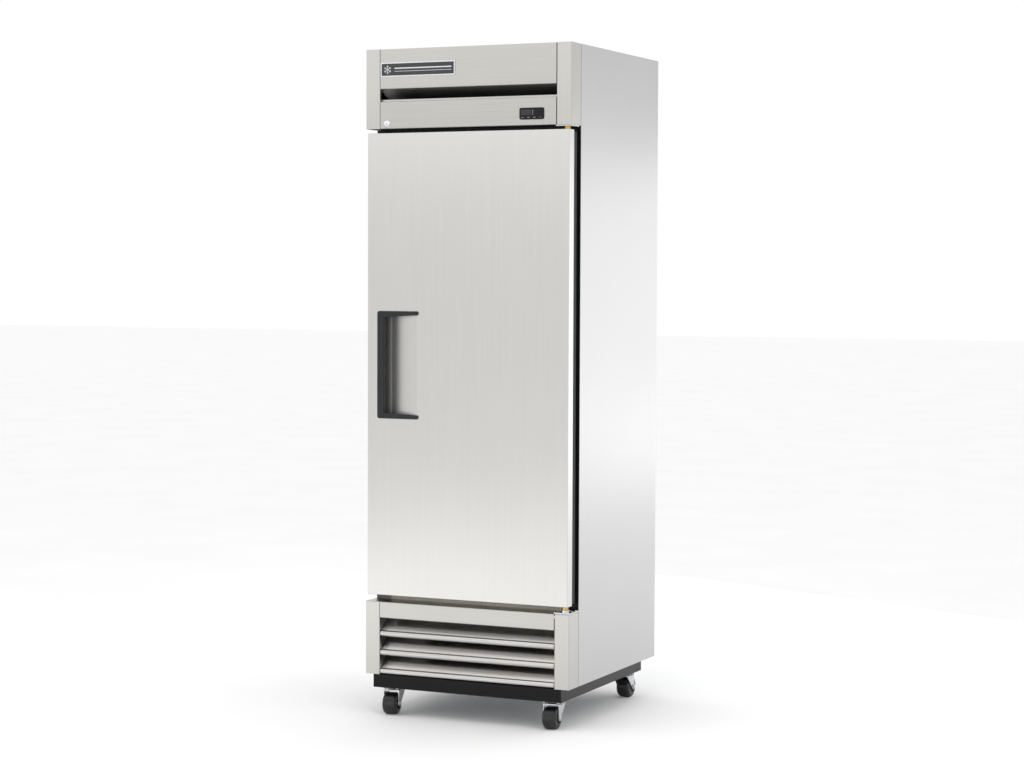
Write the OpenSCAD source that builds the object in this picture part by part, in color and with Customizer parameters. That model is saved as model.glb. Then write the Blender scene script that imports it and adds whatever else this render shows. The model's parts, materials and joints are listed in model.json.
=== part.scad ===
/* [Cabinet] */
// Width across the two side panels
cabinet_w = 686; // [560:1:830]
// Depth from the front face of the header to the back of the side panels
cabinet_d = 700; // [580:1:850]
// Height from the top of the base to the top panel
cabinet_h = 1921; // [1590:1:2320]
// Depth of the header, door and grille ahead of the side panels
front_d = 72; // [68:1:90]
// Thickness of the insulated walls, with both skins
wall = 52; // [42:1:63]
// Thickness of the bent sheet metal
sheet = 1.2; // [0.9:0.1:1.5]
// Thickness of the aluminium liner
liner_t = 1; // [0.8:0.1:1.5]
// Thickness of the breaker strips round the door opening
breaker_t = 2; // [1.5:0.1:3]
// How far the door overlaps the door opening on each edge
seal_lap = 38; // [34:1:46]
// Thickness of the insulated floor
floor_t = 49; // [40:1:59]
// Joint between neighbouring slabs, strips and rails
joint_gap = 0.3; // [0.2:0.1:0.5]

/* [Header] */
// Height of the header above the door
header_h = 242; // [210:1:291]
// Height of the header's upper panel
upper_panel_h = 120; // [100:1:144]
// Height of the header's lower panel
lower_panel_h = 82; // [70:1:98]
// Front width of the end caps and the grille posts
end_cap_w = 48; // [40:1:58]
// Gap at each seam between a panel and its neighbour
seam = 1.4; // [0.8:0.1:2]
// Depth of the sloping return at the top of the header slot
slot_d = 60; // [50:1:64]
// Drop of the sloping return over its depth
slot_drop = 33; // [28:1:39]
// Width of the badge plate
badge_w = 253; // [210:1:303]
// Height of the badge plate
badge_h = 44; // [36:1:53]
// Distance of the badge plate below the top edge
badge_drop = 41; // [34:1:49]

/* [Controller] */
// Width of the controller bezel
bezel_w = 80; // [76:1:96]
// Height of the controller bezel
bezel_h = 35; // [34:1:42]
// Distance of the bezel from the right-hand end of the lower panel
bezel_inset = 39; // [30:1:47]
// Height of the bezel's lower edge above the header's lower edge
bezel_rise = 17; // [14:1:20]
// Travel of each controller button
button_travel = 0.6; // [0.4:0.1:0.8]
// Gap round each controller button
button_gap = 0.4; // [0.3:0.05:0.5]

/* [Lock] */
// Diameter of the lock barrel's front ring
lock_d = 22; // [19:0.5:26.5]
// Distance of the lock from the left side of the cabinet
lock_inset = 72; // [66:1:86]
// Height of the lock above the header's lower edge
lock_rise = 14.6; // [13:0.1:17]
// Length of the lock's cam from its axis
cam_l = 40; // [36:0.5:44]
// Radial running clearance of pins, plugs and axles
run_gap = 0.05; // [0.03:0.01:0.08]

/* [Door] */
// Gap between the header and the door
door_gap_top = 13; // [12:1:16]
// Gap between the door and the grille
door_gap_bottom = 21; // [19:1:25]
// Inset of the door from each side of the cabinet
door_inset = 6; // [5:0.5:8]
// Depth of the door's steel pan
pan_d = 34; // [32:1:38]
// Depth of the door liner behind the pan
door_liner_d = 28; // [23:1:30]
// Clearance between the closed gasket and the breaker strips
gasket_gap = 1.4; // [1.2:0.1:2]
// Width of the gasket
gasket_w = 23; // [19:1:26]
// Inset of the gasket from the edge of the door
gasket_inset = 4.5; // [4:0.5:6]
// Distance of the hinge axis from the side of the cabinet
hinge_inset = 21; // [20:0.5:25]
// Distance of the hinge axis behind the front face
hinge_back = 20; // [17:0.5:23]
// Radius of the hinge pins
pin_r = 5; // [4:0.1:6]
// Outer radius of the hinge bushes
bush_r = 9; // [8:0.1:10]

/* [Handle] */
// Height of the recessed handle
handle_h = 330; // [275:1:396]
// Width of the recessed handle
handle_w = 141; // [118:1:169]
// Distance of the handle from the edge of the door
handle_inset = 34.5; // [29:0.5:41]
// Height of the handle's middle above the bottom of the door
handle_rise = 711; // [593:1:853]
// Width of the grip bar
grip_w = 21.5; // [18:0.5:26]
// Depth of the grip bar, from its proud front face
grip_d = 17; // [15:0.5:20]
// How far the handle stands proud of the door
handle_proud = 4; // [3:0.5:5]
// Depth of the deep end of the pocket
pocket_d = 32; // [29:0.5:33]

/* [Grille] */
// Height of the grille below the door
grille_h = 226; // [200:1:271]
// Height of the grille's top rail
rail_h = 50; // [42:1:60]
// Number of louvre blades
louvre_count = 3; // [2:1:4]
// Radius of each louvre's rounded front lip
lip_r = 9; // [7:0.5:10]
// Slope of each louvre blade above the level
blade_slope = 50; // [42:1:60]

/* [Base and casters] */
// Height of the base rails
base_h = 41; // [34:1:49]
// Inset of the base rails from each side of the cabinet
base_inset = 26; // [22:1:31]
// Distance of the base's rear rail from the back
base_back = 53; // [44:1:63]
// Diameter of a caster wheel
wheel_d = 68; // [57:1:82]
// Gap between a caster wheel and the plate of its fork
wheel_gap = 4; // [3:0.5:6]
// Width of a caster wheel
wheel_w = 44; // [37:1:53]
// Distance of the caster's swivel axis from the side of the cabinet
caster_inset = 71; // [66:1:85]
// Distance of the front casters' swivel axis behind the front face
caster_front = 56; // [54:1:67]
// Distance of the rear casters' swivel axis ahead of the back
caster_rear = 93; // [90:1:111]
// Trail of each wheel behind its swivel axis
trail = 22; // [18:1:24]
// Thickness of a caster's mounting plate
plate_t = 3; // [2:0.5:4]
// Height of a caster's bearing race
race_h = 6; // [5:0.5:8]
// Gap between the bearing race and the fork
race_gap = 1; // [0.5:0.1:1.5]
// Thickness of the plate of a caster's fork
fork_plate_t = 4; // [3:0.5:5]

/* [Hidden] */
$fn = 48;
// Stand-off of the rear bumpers behind the side panels
bumper_proud = 6;
// Gap between faces that turn on each other
washer_gap = 0.4;
front_y = (handle_proud - cabinet_d - bumper_proud) / 2;
half_w = cabinet_w / 2;
skin_x = half_w - sheet;
inner_x = half_w - wall;
caster_h = wheel_d + wheel_gap + fork_plate_t + race_gap + race_h + plate_t;
base_z = caster_h + base_h;
header_z = cabinet_h - header_h;
door_z0 = grille_h + door_gap_bottom;
door_z1 = header_z - door_gap_top;
door_x = half_w - door_inset;
floor_z = door_z0 + seal_lap;
lintel_z = door_z1 - seal_lap;
foam_z0 = floor_z - floor_t;
foam_z1 = cabinet_h - sheet;
foam_y0 = front_d + breaker_t;
back_y = cabinet_d - 2 * sheet;
inner_y = cabinet_d - wall;
lintel_d = 50;
ceiling_z = cabinet_h - wall;
lintel_y = foam_y0 + lintel_d;
panel_x = half_w - end_cap_w - seam;
slot_top_z = cabinet_h - upper_panel_h;
slot_low_z = header_z + lower_panel_h;
lip_back = 12;
lip_rise = 7;
return_d = front_d - 6;

lock_x = lock_inset - half_w;
lock_z = header_z + lock_rise;
barrel_r = lock_d / 2 - 2;
plug_r = 6;
barrel_l = 13;
cam_t = 3;
cam_y = barrel_l + washer_gap;
cam_w = 12;
cam_reach = norm([cam_l, cam_w / 2]);
cam_gap = 3;

bezel_x0 = panel_x - bezel_inset - bezel_w;
bezel_z0 = header_z + bezel_rise;
bezel_proud = 3;
cutout_edge = 4.5;
cutout_w = bezel_w - 2 * cutout_edge;
cutout_h = bezel_h - 6;
button_w = 9;
button_h = 4.2;
button_count = 4;
button_edge = cutout_edge + button_w / 2 + 2;
button_pitch = (bezel_w - 2 * button_edge) / (button_count - 1);
button_rise = 6;
button_l = 5;
button_proud = 0.5;
button_back = button_l - bezel_proud - button_proud;
window_w = 34;
window_h = 17;
window_t = 0.6;
window_recess = 1;
window_x0 = bezel_x0 + 5;
window_z0 = bezel_z0 + bezel_h - 5 - window_h;

hinge_x = half_w - hinge_inset;
bracket_t = 4;
bracket_d = 60;
boss_r = 11;
boss_h = 7;
bush_l = 22;

handle_x0 = handle_inset - door_x;
handle_x1 = handle_x0 + handle_w;
handle_z0 = door_z0 + handle_rise - handle_h / 2;
handle_z1 = handle_z0 + handle_h;
arm_root = 18;
arm_tip = 12;
pocket_edge = 9;
pocket_flat = 14;
pocket_wall = 3;

door_liner_t = 1.5;
liner_inset = gasket_inset + gasket_w;
liner_x = door_x - liner_inset;
gasket_y1 = front_d - gasket_gap;
louvre_pitch = (grille_h - rail_h) / louvre_count;
louvre_lap = 2;
louvre_back = 1;
louvre_lift = 0.6;

base_x = half_w - base_inset;
base_y0 = 2;
base_y1 = cabinet_d - base_back;
rail_t = 2;
rail_flange = 30;
deck_t = 2;

axle_z = wheel_d / 2;
axle_r = 4;
king_r = 6;
fork_top_z = caster_h - plate_t - race_h - race_gap;
fork_t = 2.5;
side_gap = 1.5;
leg_x = wheel_w / 2 + side_gap;

tube_r = 5;
tube_stub = 6;
tube_front = 0.3;
tube_rear = 0.7;
shroud_d = 14;
coil_y = front_d + 10;
coil_d = 56;
coil_x = 200;
coil_z0 = 14;
coil_z1 = foam_z0 - 26;
fan_y = coil_y + coil_d + 26;
fan_z = (coil_z0 + coil_z1) / 2;
fan_r = 78;
fan_gap = 6;
fan_offset = 8;
shaft_r = 4;
evap_y0 = lintel_y + 40;
evap_z0 = lintel_z + 12;
evap_x = inner_x - 45;
evap_fan_z = (evap_z0 + ceiling_z) / 2;
evap_fan_y = evap_y0 + 22;
compressor_x = -110;
compressor_y = cabinet_d - 230;
shell_r = 84;
suction_x = -40;
suction_y = 90;
suction_z = 80;
suction_r = 5;
pan_x = 150;
pan_y = cabinet_d - 190;
gland_r = 10;
gland_x = skin_x - 42;
gland_z = 60;

shelf_count = 3;
shelf_y0 = foam_y0 + 42;
shelf_y1 = inner_y - 14;
pilaster_t = 5;
pilaster_w = 16;
clip_l = 13;
clip_in = 40;
shelf_x = inner_x - liner_t - pilaster_t - 5;
rod_r = 3;
wire_r = 1.7;
wire_pitch = 26;

// Left-hand normal of the line from a to b
function normal(a, b) = let(u = (b - a) / norm(b - a)) [-u[1], u[0]];

// Point i of a path moved t to the left, mitred at its bend
function mitre(path, i, t) =
    let(last = len(path) - 1)
    let(n1 = normal(path[max(i - 1, 0)], path[max(i, 1)]))
    let(n2 = normal(path[min(i, last - 1)], path[min(i + 1, last)]))
    path[i] + t * (n1 + n2) / (1 + n1 * n2);

// Outline of a bent strip of thickness t on the left of a path
function strip(path, t) = concat(path, [for (i = [len(path) - 1 : -1 : 0]) mitre(path, i, t)]);

// Height of shelf number i, counted from the bottom
function shelf_z(i) = floor_z + (i + 1) * (lintel_z - floor_z) / (shelf_count + 1);

// Swivel axis of a caster: side is -1 or 1, and rear is 0 or 1
function caster_at(side, rear) = [
    side * (half_w - caster_inset),
    front_y + (rear == 1 ? cabinet_d - caster_rear : caster_front)
];

// Places children in the cabinet's frame: front face at y = 0, top of the base at z = 0
module on_base() {
    translate([0, front_y, base_z]) children();
}

// A box between two corners
module block(low, high) {
    translate(low) cube(high - low);
}

// Extrudes a (y, z) outline from x0 to x1
module along_x(x0, x1) {
    translate([x0, 0, 0]) rotate([90, 0, 90]) linear_extrude(x1 - x0) children();
}

// A rod between x0 and x1
module rod_x(x0, x1, r) {
    translate([x0, 0, 0]) rotate([0, 90, 0]) cylinder(r = r, h = x1 - x0);
}

// A rod along +Y from y0 to y1
module rod_y(y0, y1, r) {
    translate([0, y0, 0]) rotate([-90, 0, 0]) cylinder(r = r, h = y1 - y0);
}

// Bent side panel: the wide face and a flange turned in at the back
module side_panel(side) {
    flange = 15;
    path = [[half_w - flange, cabinet_d], [half_w, cabinet_d], [half_w, front_d]];
    mirror([side < 0 ? 1 : 0, 0, 0]) linear_extrude(cabinet_h) polygon(strip(path, -sheet));
}

module side_panel_left() {
    color("gainsboro") on_base() side_panel(-1);
}

module side_panel_right() {
    color("gainsboro") on_base() side_panel(1);
}

module top_panel() {
    color("gainsboro") on_base()
        block([-skin_x, front_d, cabinet_h - sheet], [skin_x, back_y, cabinet_h]);
}

module back_panel() {
    color("silver") on_base()
        block([-skin_x, back_y, foam_z0], [skin_x, back_y + sheet, cabinet_h]);
}

// Foam slabs inside the two skins, one for each wall
module cabinet_insulation() {
    color("khaki") on_base() {
        for (side = [0, 1]) mirror([side, 0, 0])
            block([inner_x, foam_y0, foam_z0], [skin_x, back_y, foam_z1]);
        x = inner_x - joint_gap;
        y1 = inner_y - joint_gap;
        block([-x, inner_y, foam_z0], [x, back_y, foam_z1]);
        block([-x, foam_y0, ceiling_z], [x, y1, foam_z1]);
        block([-x, foam_y0, foam_z0], [x, y1, floor_z]);
        block([-x, foam_y0, lintel_z], [x, lintel_y, ceiling_z - joint_gap]);
    }
}

module liner_space(inset) {
    x = inner_x - inset;
    block([-x, foam_y0, floor_z + inset], [x, inner_y - inset, lintel_z - inset]);
    block([-x, lintel_y + inset, floor_z + inset], [x, inner_y - inset, ceiling_z - inset]);
}

module cabinet_liner() {
    color("lightgray") on_base() difference() {
        liner_space(0);
        liner_space(liner_t);
        block([-inner_x + liner_t, foam_y0 - 1, floor_z + liner_t],
            [inner_x - liner_t, foam_y0 + 1, lintel_z - liner_t]);
    }
}

// Two jambs, a sill and a lintel plate that the gasket closes on
module breaker_frame() {
    sill_drop = 3;
    color("beige") on_base() {
        for (side = [0, 1]) mirror([side, 0, 0])
            block([inner_x, front_d, foam_z0], [skin_x, foam_y0, foam_z1]);
        x = inner_x - joint_gap;
        block([-x, front_d, grille_h - sill_drop], [x, foam_y0, floor_z]);
        block([-x, front_d, lintel_z], [x, foam_y0, foam_z1]);
    }
}

// Upper header panel: top return, front face and the slope into the slot
module header_upper_panel() {
    path = [
        [front_d, cabinet_h], [0, cabinet_h], [0, slot_top_z],
        [slot_d, slot_top_z - slot_drop]
    ];
    color("silver") on_base() along_x(-panel_x, panel_x) polygon(strip(path, sheet));
}

// Lower header panel, with cut-outs for the controller, the lock and the lock's cam
module header_lower_panel() {
    path = [
        [return_d, header_z], [0, header_z], [0, slot_low_z], [lip_back, slot_low_z],
        [lip_back, slot_low_z + lip_rise]
    ];
    color("silver") on_base() difference() {
        along_x(-panel_x, panel_x) polygon(strip(path, -sheet));
        translate([bezel_x0 + cutout_edge, -1, bezel_z0 + (bezel_h - cutout_h) / 2])
            cube([cutout_w, sheet + 2, cutout_h]);
        translate([lock_x, 0, lock_z]) rod_y(-1, sheet + 1, barrel_r);
        cam_slot(header_z - 1, header_z + sheet + 1);
    }
}

// Slot that the lock's cam turns down through, between two heights
module cam_slot(z0, z1) {
    block([lock_x - cam_w / 2 - cam_gap, cam_y - cam_gap, z0],
        [lock_x + cam_reach + cam_gap, cam_y + cam_t + cam_gap, z1]);
}

// Folded corner of the header or the grille: inner return, front, side, rear return and lid
module corner_post(side, h) {
    inner = 14;
    rear = 12;
    path = [
        [half_w - end_cap_w, inner], [half_w - end_cap_w, 0], [half_w, 0],
        [half_w, front_d], [half_w - rear, front_d]
    ];
    mirror([side < 0 ? 1 : 0, 0, 0]) {
        linear_extrude(h) polygon(strip(path, sheet));
        block([half_w - end_cap_w, 0, h - sheet], [half_w, front_d, h]);
    }
}

module header_end_cap_left() {
    color("silver") on_base() translate([0, 0, header_z]) corner_post(-1, header_h);
}

module header_end_cap_right() {
    color("silver") on_base() translate([0, 0, header_z]) corner_post(1, header_h);
}

// Plain badge: a plate with a raised rim
module badge_plate() {
    rim = 4;
    proud = 2;
    recess = 0.8;
    x0 = seam - panel_x;
    z1 = cabinet_h - badge_drop;
    color("dimgray") on_base() difference() {
        block([x0, -proud, z1 - badge_h], [x0 + badge_w, 0, z1]);
        block([x0 + rim, -proud - 1, z1 - badge_h + rim], [x0 + badge_w - rim, -proud + recess, z1 - rim]);
    }
}

module button_at(i) {
    translate([bezel_x0 + button_edge + (i - 1) * button_pitch, 0, bezel_z0 + button_rise]) children();
}

// Controller case: proud bezel with a display recess and four button windows
module controller_bezel() {
    case_d = 48;
    hole_x = button_w / 2 + button_gap;
    hole_z = button_h / 2 + button_gap;
    color("black") on_base() difference() {
        union() {
            block([bezel_x0, -bezel_proud, bezel_z0], [bezel_x0 + bezel_w, 0, bezel_z0 + bezel_h]);
            translate([bezel_x0 + cutout_edge, 0, bezel_z0 + (bezel_h - cutout_h) / 2])
                cube([cutout_w, case_d, cutout_h]);
        }
        translate([window_x0, -bezel_proud - 1, window_z0]) cube([window_w, window_recess + 1, window_h]);
        for (i = [1 : button_count]) button_at(i)
            block([-hole_x, -bezel_proud - 1, -hole_z], [hole_x, button_back + button_travel + 1, hole_z]);
    }
}

module controller_display() {
    color("darkred") on_base() translate([window_x0, window_recess - window_t - bezel_proud, window_z0])
        cube([window_w, window_t, window_h]);
}

module button(i) {
    color("dimgray") on_base() button_at(i)
        translate([0, button_back - button_l / 2, 0])
        cube([button_w, button_l, button_h], center = true);
}

module button_1() {
    button(1);
}

module button_2() {
    button(2);
}

module button_3() {
    button(3);
}

module button_4() {
    button(4);
}

// Lock barrel: a proud ring and a sleeve through the panel
module lock_barrel() {
    proud = 2.5;
    color("silver") on_base() translate([lock_x, 0, lock_z]) difference() {
        union() {
            rod_y(-proud, 0, lock_d / 2);
            rod_y(0, barrel_l, barrel_r);
        }
        rod_y(-proud - 1, barrel_l + 1, plug_r + run_gap);
    }
}

// Lock plug with its keyway, and the cam fixed to its inner end
module lock_plug() {
    keyway_w = 1.6;
    keyway_h = 7;
    color("silver") on_base() translate([lock_x, 0, lock_z]) difference() {
        union() {
            rod_y(-2, cam_y, plug_r);
            translate([0, cam_y + cam_t / 2, 0]) rotate([90, 0, 0])
                cylinder(r = plug_r, h = cam_t, center = true);
            block([0, cam_y, -cam_w / 2], [cam_l, cam_y + cam_t, cam_w / 2]);
        }
        block([-keyway_w / 2, -3, -keyway_h / 2], [keyway_w / 2, 4, keyway_h / 2]);
    }
}

// Top rail of the grille: top return, front face and a bottom hem
module grille_top_rail() {
    hem = 14;
    path = [[return_d, grille_h], [0, grille_h], [0, grille_h - rail_h], [hem, grille_h - rail_h]];
    color("silver") on_base() along_x(-panel_x, panel_x) polygon(strip(path, sheet));
}

module grille_post_left() {
    color("silver") on_base() corner_post(-1, grille_h);
}

module grille_post_right() {
    color("silver") on_base() corner_post(1, grille_h);
}

// Path of one louvre: round lip, a short flat, then a blade that slopes up and back behind the next one
function louvre_path() =
    let(steps = 12, flat = 3)
    let(lip = [for (i = [0 : steps])
        let(a = 270 - i * 180 / steps)
        [lip_r + lip_r * cos(a), lip_r + lip_r * sin(a)]])
    let(top = lip[steps] + [flat, 0])
    let(rise = louvre_pitch - top[1] + louvre_lap)
    concat([[2 * lip_r, 0]], lip, [top, top + [rise / tan(blade_slope), rise]]);

module grille_louvres() {
    color("gainsboro") on_base() for (i = [0 : louvre_count - 1])
        translate([0, louvre_back, i * louvre_pitch + louvre_lift])
        along_x(-panel_x, panel_x) polygon(strip(louvre_path(), -sheet));
}

// Channel rail with its web on the outer side, from 0 to l along X
module channel(l, flip) {
    path = [[rail_flange, -base_h], [0, -base_h], [0, 0], [rail_flange, 0]];
    along_x(0, l) mirror([flip ? 1 : 0, 0]) polygon(strip(path, -rail_t));
}

// Channel rail with a plate across each end
module closed_channel(l, flip) {
    channel(l, flip);
    for (x = [0, l - rail_t]) along_x(x, x + rail_t) mirror([flip ? 1 : 0, 0])
        translate([0, -base_h]) square([rail_flange, base_h]);
}

module base_rails() {
    end = rail_flange + joint_gap;
    side_l = base_y1 - base_y0 - 2 * end;
    color("black") on_base() {
        translate([-base_x, base_y0, 0]) closed_channel(2 * base_x, false);
        translate([-base_x, base_y1, 0]) closed_channel(2 * base_x, true);
        translate([-base_x, base_y1 - end, 0]) rotate([0, 0, -90]) channel(side_l, false);
        translate([base_x, base_y0 + end, 0]) rotate([0, 0, 90]) channel(side_l, false);
    }
}

module base_deck() {
    color("silver") on_base() block([-base_x, front_d + 4, 0], [base_x, base_y1, deck_t]);
}

// Hermetic compressor: feet, shell with a domed top, and its terminal box
module compressor() {
    shell_z = deck_t + 16;
    side_h = 92;
    dome_h = 42;
    foot_x = 95;
    foot_y = 60;
    foot_t = 5;
    dome_r = (shell_r * shell_r + dome_h * dome_h) / (2 * dome_h);
    dome = [for (a = [0 : 6])
        let(t = asin(shell_r / dome_r) * (6 - a) / 6)
        [dome_r * sin(t), side_h + dome_h - dome_r + dome_r * cos(t)]];
    color("black") on_base() translate([compressor_x, compressor_y, 0]) {
        difference() {
            union() {
                translate([0, 0, shell_z]) rotate_extrude() polygon(concat([[0, 0], [shell_r, 0]], dome));
                translate([0, 0, shell_z - foot_t / 2]) cube([220, 150, foot_t], center = true);
                for (sx = [-1, 1], sy = [-1, 1]) translate([sx * foot_x, sy * foot_y, deck_t])
                    cylinder(r = 14, h = shell_z - deck_t - 1);
                translate([shell_r + 8, 0, shell_z + 55]) cube([44, 70, 60], center = true);
                translate([suction_x, 0, suction_z]) rod_y(0, suction_y, suction_r + 1);
            }
            for (sx = [-1, 1], sy = [-1, 1]) translate([sx * foot_x, sy * foot_y, deck_t - 1])
                cylinder(r = 4, h = shell_z);
        }
    }
}

// Number of tube rows in a coil of height h, and the height of its lowest row
function tube_rows(h) = floor(h / 42);
function tube_low_z(h) = h / tube_rows(h) / 2;

// Finned coil: tubes through evenly spaced plate fins, with a thicker plate at each end
module finned_coil(x, d, h, fins) {
    fin_t = 0.8;
    end_t = 3;
    for (i = [0 : fins - 1]) translate([-x + i * (2 * x - end_t) / (fins - 1), 0, 0])
        cube([i == 0 || i == fins - 1 ? end_t : fin_t, d, h]);
    for (i = [0 : tube_rows(h) - 1], j = [tube_front, tube_rear])
        translate([0, j * d, (2 * i + 1) * tube_low_z(h)]) rod_x(-x - tube_stub, x + tube_stub, tube_r);
}

module condenser_coil() {
    color("dimgray") on_base() translate([0, coil_y, coil_z0])
        finned_coil(coil_x, coil_d, coil_z1 - coil_z0, 22);
}

// Shroud: plate with the fan's opening, behind the condenser coil
module condenser_shroud() {
    y0 = coil_y + coil_d;
    t = 2;
    color("silver") on_base() difference() {
        block([-coil_x, y0, deck_t], [coil_x, y0 + shroud_d, coil_z1]);
        block([-coil_x + t, y0 - 1, deck_t + t], [coil_x - t, y0 + shroud_d - t, coil_z1 - t]);
        translate([0, 0, fan_z]) rod_y(y0 - 1, y0 + shroud_d + 1, fan_r + fan_gap);
    }
}

// Small axial fan motor with its shaft and four mounting arms, facing -Y
module axial_motor(r, arm, arm_y) {
    motor_y0 = 14;
    motor_y1 = 70;
    arm_y0 = 20;
    arm_y1 = 26;
    half = 4;
    rod_y(motor_y0, motor_y1, r);
    rod_y(-fan_offset - 10, motor_y0, shaft_r);
    for (a = [45, 135, 225, 315]) rotate([0, a, 0]) {
        block([0, arm_y0, -half], [arm, arm_y1, half]);
        block([arm - half, arm_y, -half], [arm, arm_y1, half]);
    }
}

module fan_motors() {
    arm = fan_r + 2 * fan_gap;
    color("dimgray") on_base() {
        translate([0, fan_y, fan_z]) axial_motor(34, arm, coil_y + coil_d + shroud_d - fan_y);
        translate([0, evap_fan_y, evap_fan_z]) axial_motor(32, arm, evap_y0 + sheet - evap_fan_y);
    }
}

// Fan wheel: bored hub and five pitched blades, facing -Y
module fan_blade() {
    hub_r = 18;
    hub_l = 14;
    blades = 5;
    pitch = 24;
    root = hub_r - 3;
    half_chord = 20;
    difference() {
        union() {
            rod_y(-hub_l / 2, hub_l / 2, hub_r);
            for (i = [1 : blades]) rotate([0, i * 360 / blades, 0]) translate([root, 0, 0])
                rotate([pitch, 0, 0]) block([0, -1, -half_chord], [fan_r - root - 2, 1, half_chord]);
        }
        rod_y(-hub_l, hub_l, shaft_r + run_gap);
    }
}

module condenser_fan_blade() {
    color("black") on_base() translate([0, fan_y - fan_offset, fan_z]) fan_blade();
}

module evaporator_fan_blade() {
    color("black") on_base() translate([0, evap_fan_y - fan_offset, evap_fan_z]) fan_blade();
}

// A tube through a list of points, with round elbows
module tube_through(points, r) {
    for (i = [0 : len(points) - 2]) {
        run = points[i + 1] - points[i];
        translate(points[i]) rotate([0, acos(run[2] / norm(run)), atan2(run[1], run[0])])
            cylinder(r = r, h = norm(run));
    }
    for (i = [1 : len(points) - 2]) translate(points[i]) sphere(r = r);
}

// Suction and liquid lines, with the filter drier in the liquid line
module refrigerant_lines() {
    line_x = compressor_x + suction_x;
    line_y = compressor_y + suction_y;
    rise_y = line_y + 40;
    suction = [[line_x, line_y, suction_z], [line_x, rise_y, suction_z], [line_x, rise_y, foam_z0]];
    liquid_x = coil_x + tube_stub + 34;
    liquid_y = coil_y + coil_d + 90;
    outlet = [coil_x + tube_stub, coil_y + tube_rear * coil_d, coil_z0 + tube_low_z(coil_z1 - coil_z0)];
    liquid = [
        outlet, [liquid_x, outlet[1], outlet[2]], [liquid_x, liquid_y, outlet[2]],
        [liquid_x, liquid_y, foam_z0]
    ];
    color("peru") on_base() {
        tube_through(suction, suction_r);
        tube_through(liquid, 4);
        translate([liquid_x, liquid_y, 90]) cylinder(r = 13, h = 80);
    }
}

// Condensate pan, open at the top
module drain_pan() {
    w = 200;
    l = 180;
    h = 45;
    t = 2;
    color("silver") on_base() translate([pan_x - w / 2, pan_y - l / 2, deck_t]) difference() {
        cube([w, l, h]);
        translate([t, t, t]) cube([w - 2 * t, l - 2 * t, h]);
    }
}

// Gland where the supply cord enters, through the rear grille
module cord_gland() {
    inner_l = 14;
    rim_r = gland_r + 4;
    bore_r = 5;
    color("black") on_base() translate([gland_x, 0, gland_z]) difference() {
        union() {
            rod_y(back_y - inner_l, back_y + sheet, gland_r);
            rod_y(back_y + sheet, cabinet_d + bumper_proud - 1, rim_r);
        }
        rod_y(back_y - inner_l - 1, cabinet_d + bumper_proud, bore_r);
    }
}

// Slotted cover behind the machine compartment
module rear_grille() {
    slot_w = 90;
    slot_h = 8;
    land = 16;
    margin = 42;
    columns = floor((2 * (skin_x - margin) + land) / (slot_w + land));
    z0 = gland_z + margin;
    rows = floor((foam_z0 - margin - z0) / (2.5 * slot_h)) + 1;
    pitch_z = (foam_z0 - margin - z0) / (rows - 1);
    color("silver") on_base() difference() {
        block([-skin_x, back_y, deck_t], [skin_x, back_y + sheet, foam_z0 - joint_gap]);
        for (i = [0 : columns - 1], j = [0 : rows - 1])
            translate([(i - (columns - 1) / 2) * (slot_w + land), back_y, z0 + j * pitch_z])
            cube([slot_w, 4 * sheet, slot_h], center = true);
        translate([gland_x, 0, gland_z]) rod_y(back_y - 1, cabinet_d, gland_r);
    }
}

// Evaporator housing under the ceiling, with the fan's opening and an air return below
module evaporator_cover() {
    y1 = inner_y - liner_t;
    z1 = ceiling_z - liner_t;
    color("silver") on_base() difference() {
        block([-evap_x, evap_y0, evap_z0], [evap_x, y1, z1]);
        block([-evap_x + sheet, evap_y0 + sheet, evap_z0 + sheet], [evap_x - sheet, y1 + 1, z1 + 1]);
        translate([0, 0, evap_fan_z]) rod_y(evap_y0 - 1, evap_y0 + sheet + 1, fan_r + fan_gap);
        for (i = [-3 : 3]) translate([i * 50, y1 - 60, evap_z0]) cube([30, 70, 4 * sheet], center = true);
    }
}

module evaporator_coil() {
    y0 = evap_y0 + 150;
    lift = 22;
    color("lightgray") on_base() translate([0, y0, evap_z0 + lift])
        finned_coil(evap_x - 30, 100, ceiling_z - evap_z0 - 2 * lift, 22);
}

// Lamp bar behind the lintel, with its diffuser on the underside
module interior_lamp() {
    x = 180;
    y0 = lintel_y + liner_t;
    y1 = y0 + 20;
    z0 = lintel_z + 10;
    rim = 2;
    diffuser_t = 4;
    color("white") on_base() {
        block([-x, y0, z0], [x, y1, z0 + 12]);
        block([rim - x, y0 + rim, z0 - diffuser_t], [x - rim, y1 - rim, z0]);
    }
}

// Depths of the front and rear pilasters
function pilaster_ys() = [shelf_y0 + clip_in, shelf_y1 - clip_in];

// Four slotted strips on the side walls
module shelf_pilasters() {
    z0 = floor_z + 40;
    z1 = lintel_z - 20;
    slot_pitch = 50.8;
    slot_h = 10;
    slot_half = 3;
    t = 1.5;
    x = inner_x - liner_t;
    color("silver") on_base() for (side = [0, 1], y = pilaster_ys()) mirror([side, 0, 0])
        translate([x - pilaster_t, y - pilaster_w / 2, z0]) difference() {
            cube([pilaster_t, pilaster_w, z1 - z0]);
            translate([t, t, -1]) cube([pilaster_t, pilaster_w - 2 * t, z1 - z0 + 2]);
            for (i = [1 : floor((z1 - z0) / slot_pitch)])
                translate([-1, pilaster_w / 2 - slot_half, i * slot_pitch - slot_h])
                cube([t + 2, 2 * slot_half, slot_h]);
        }
}

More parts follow.
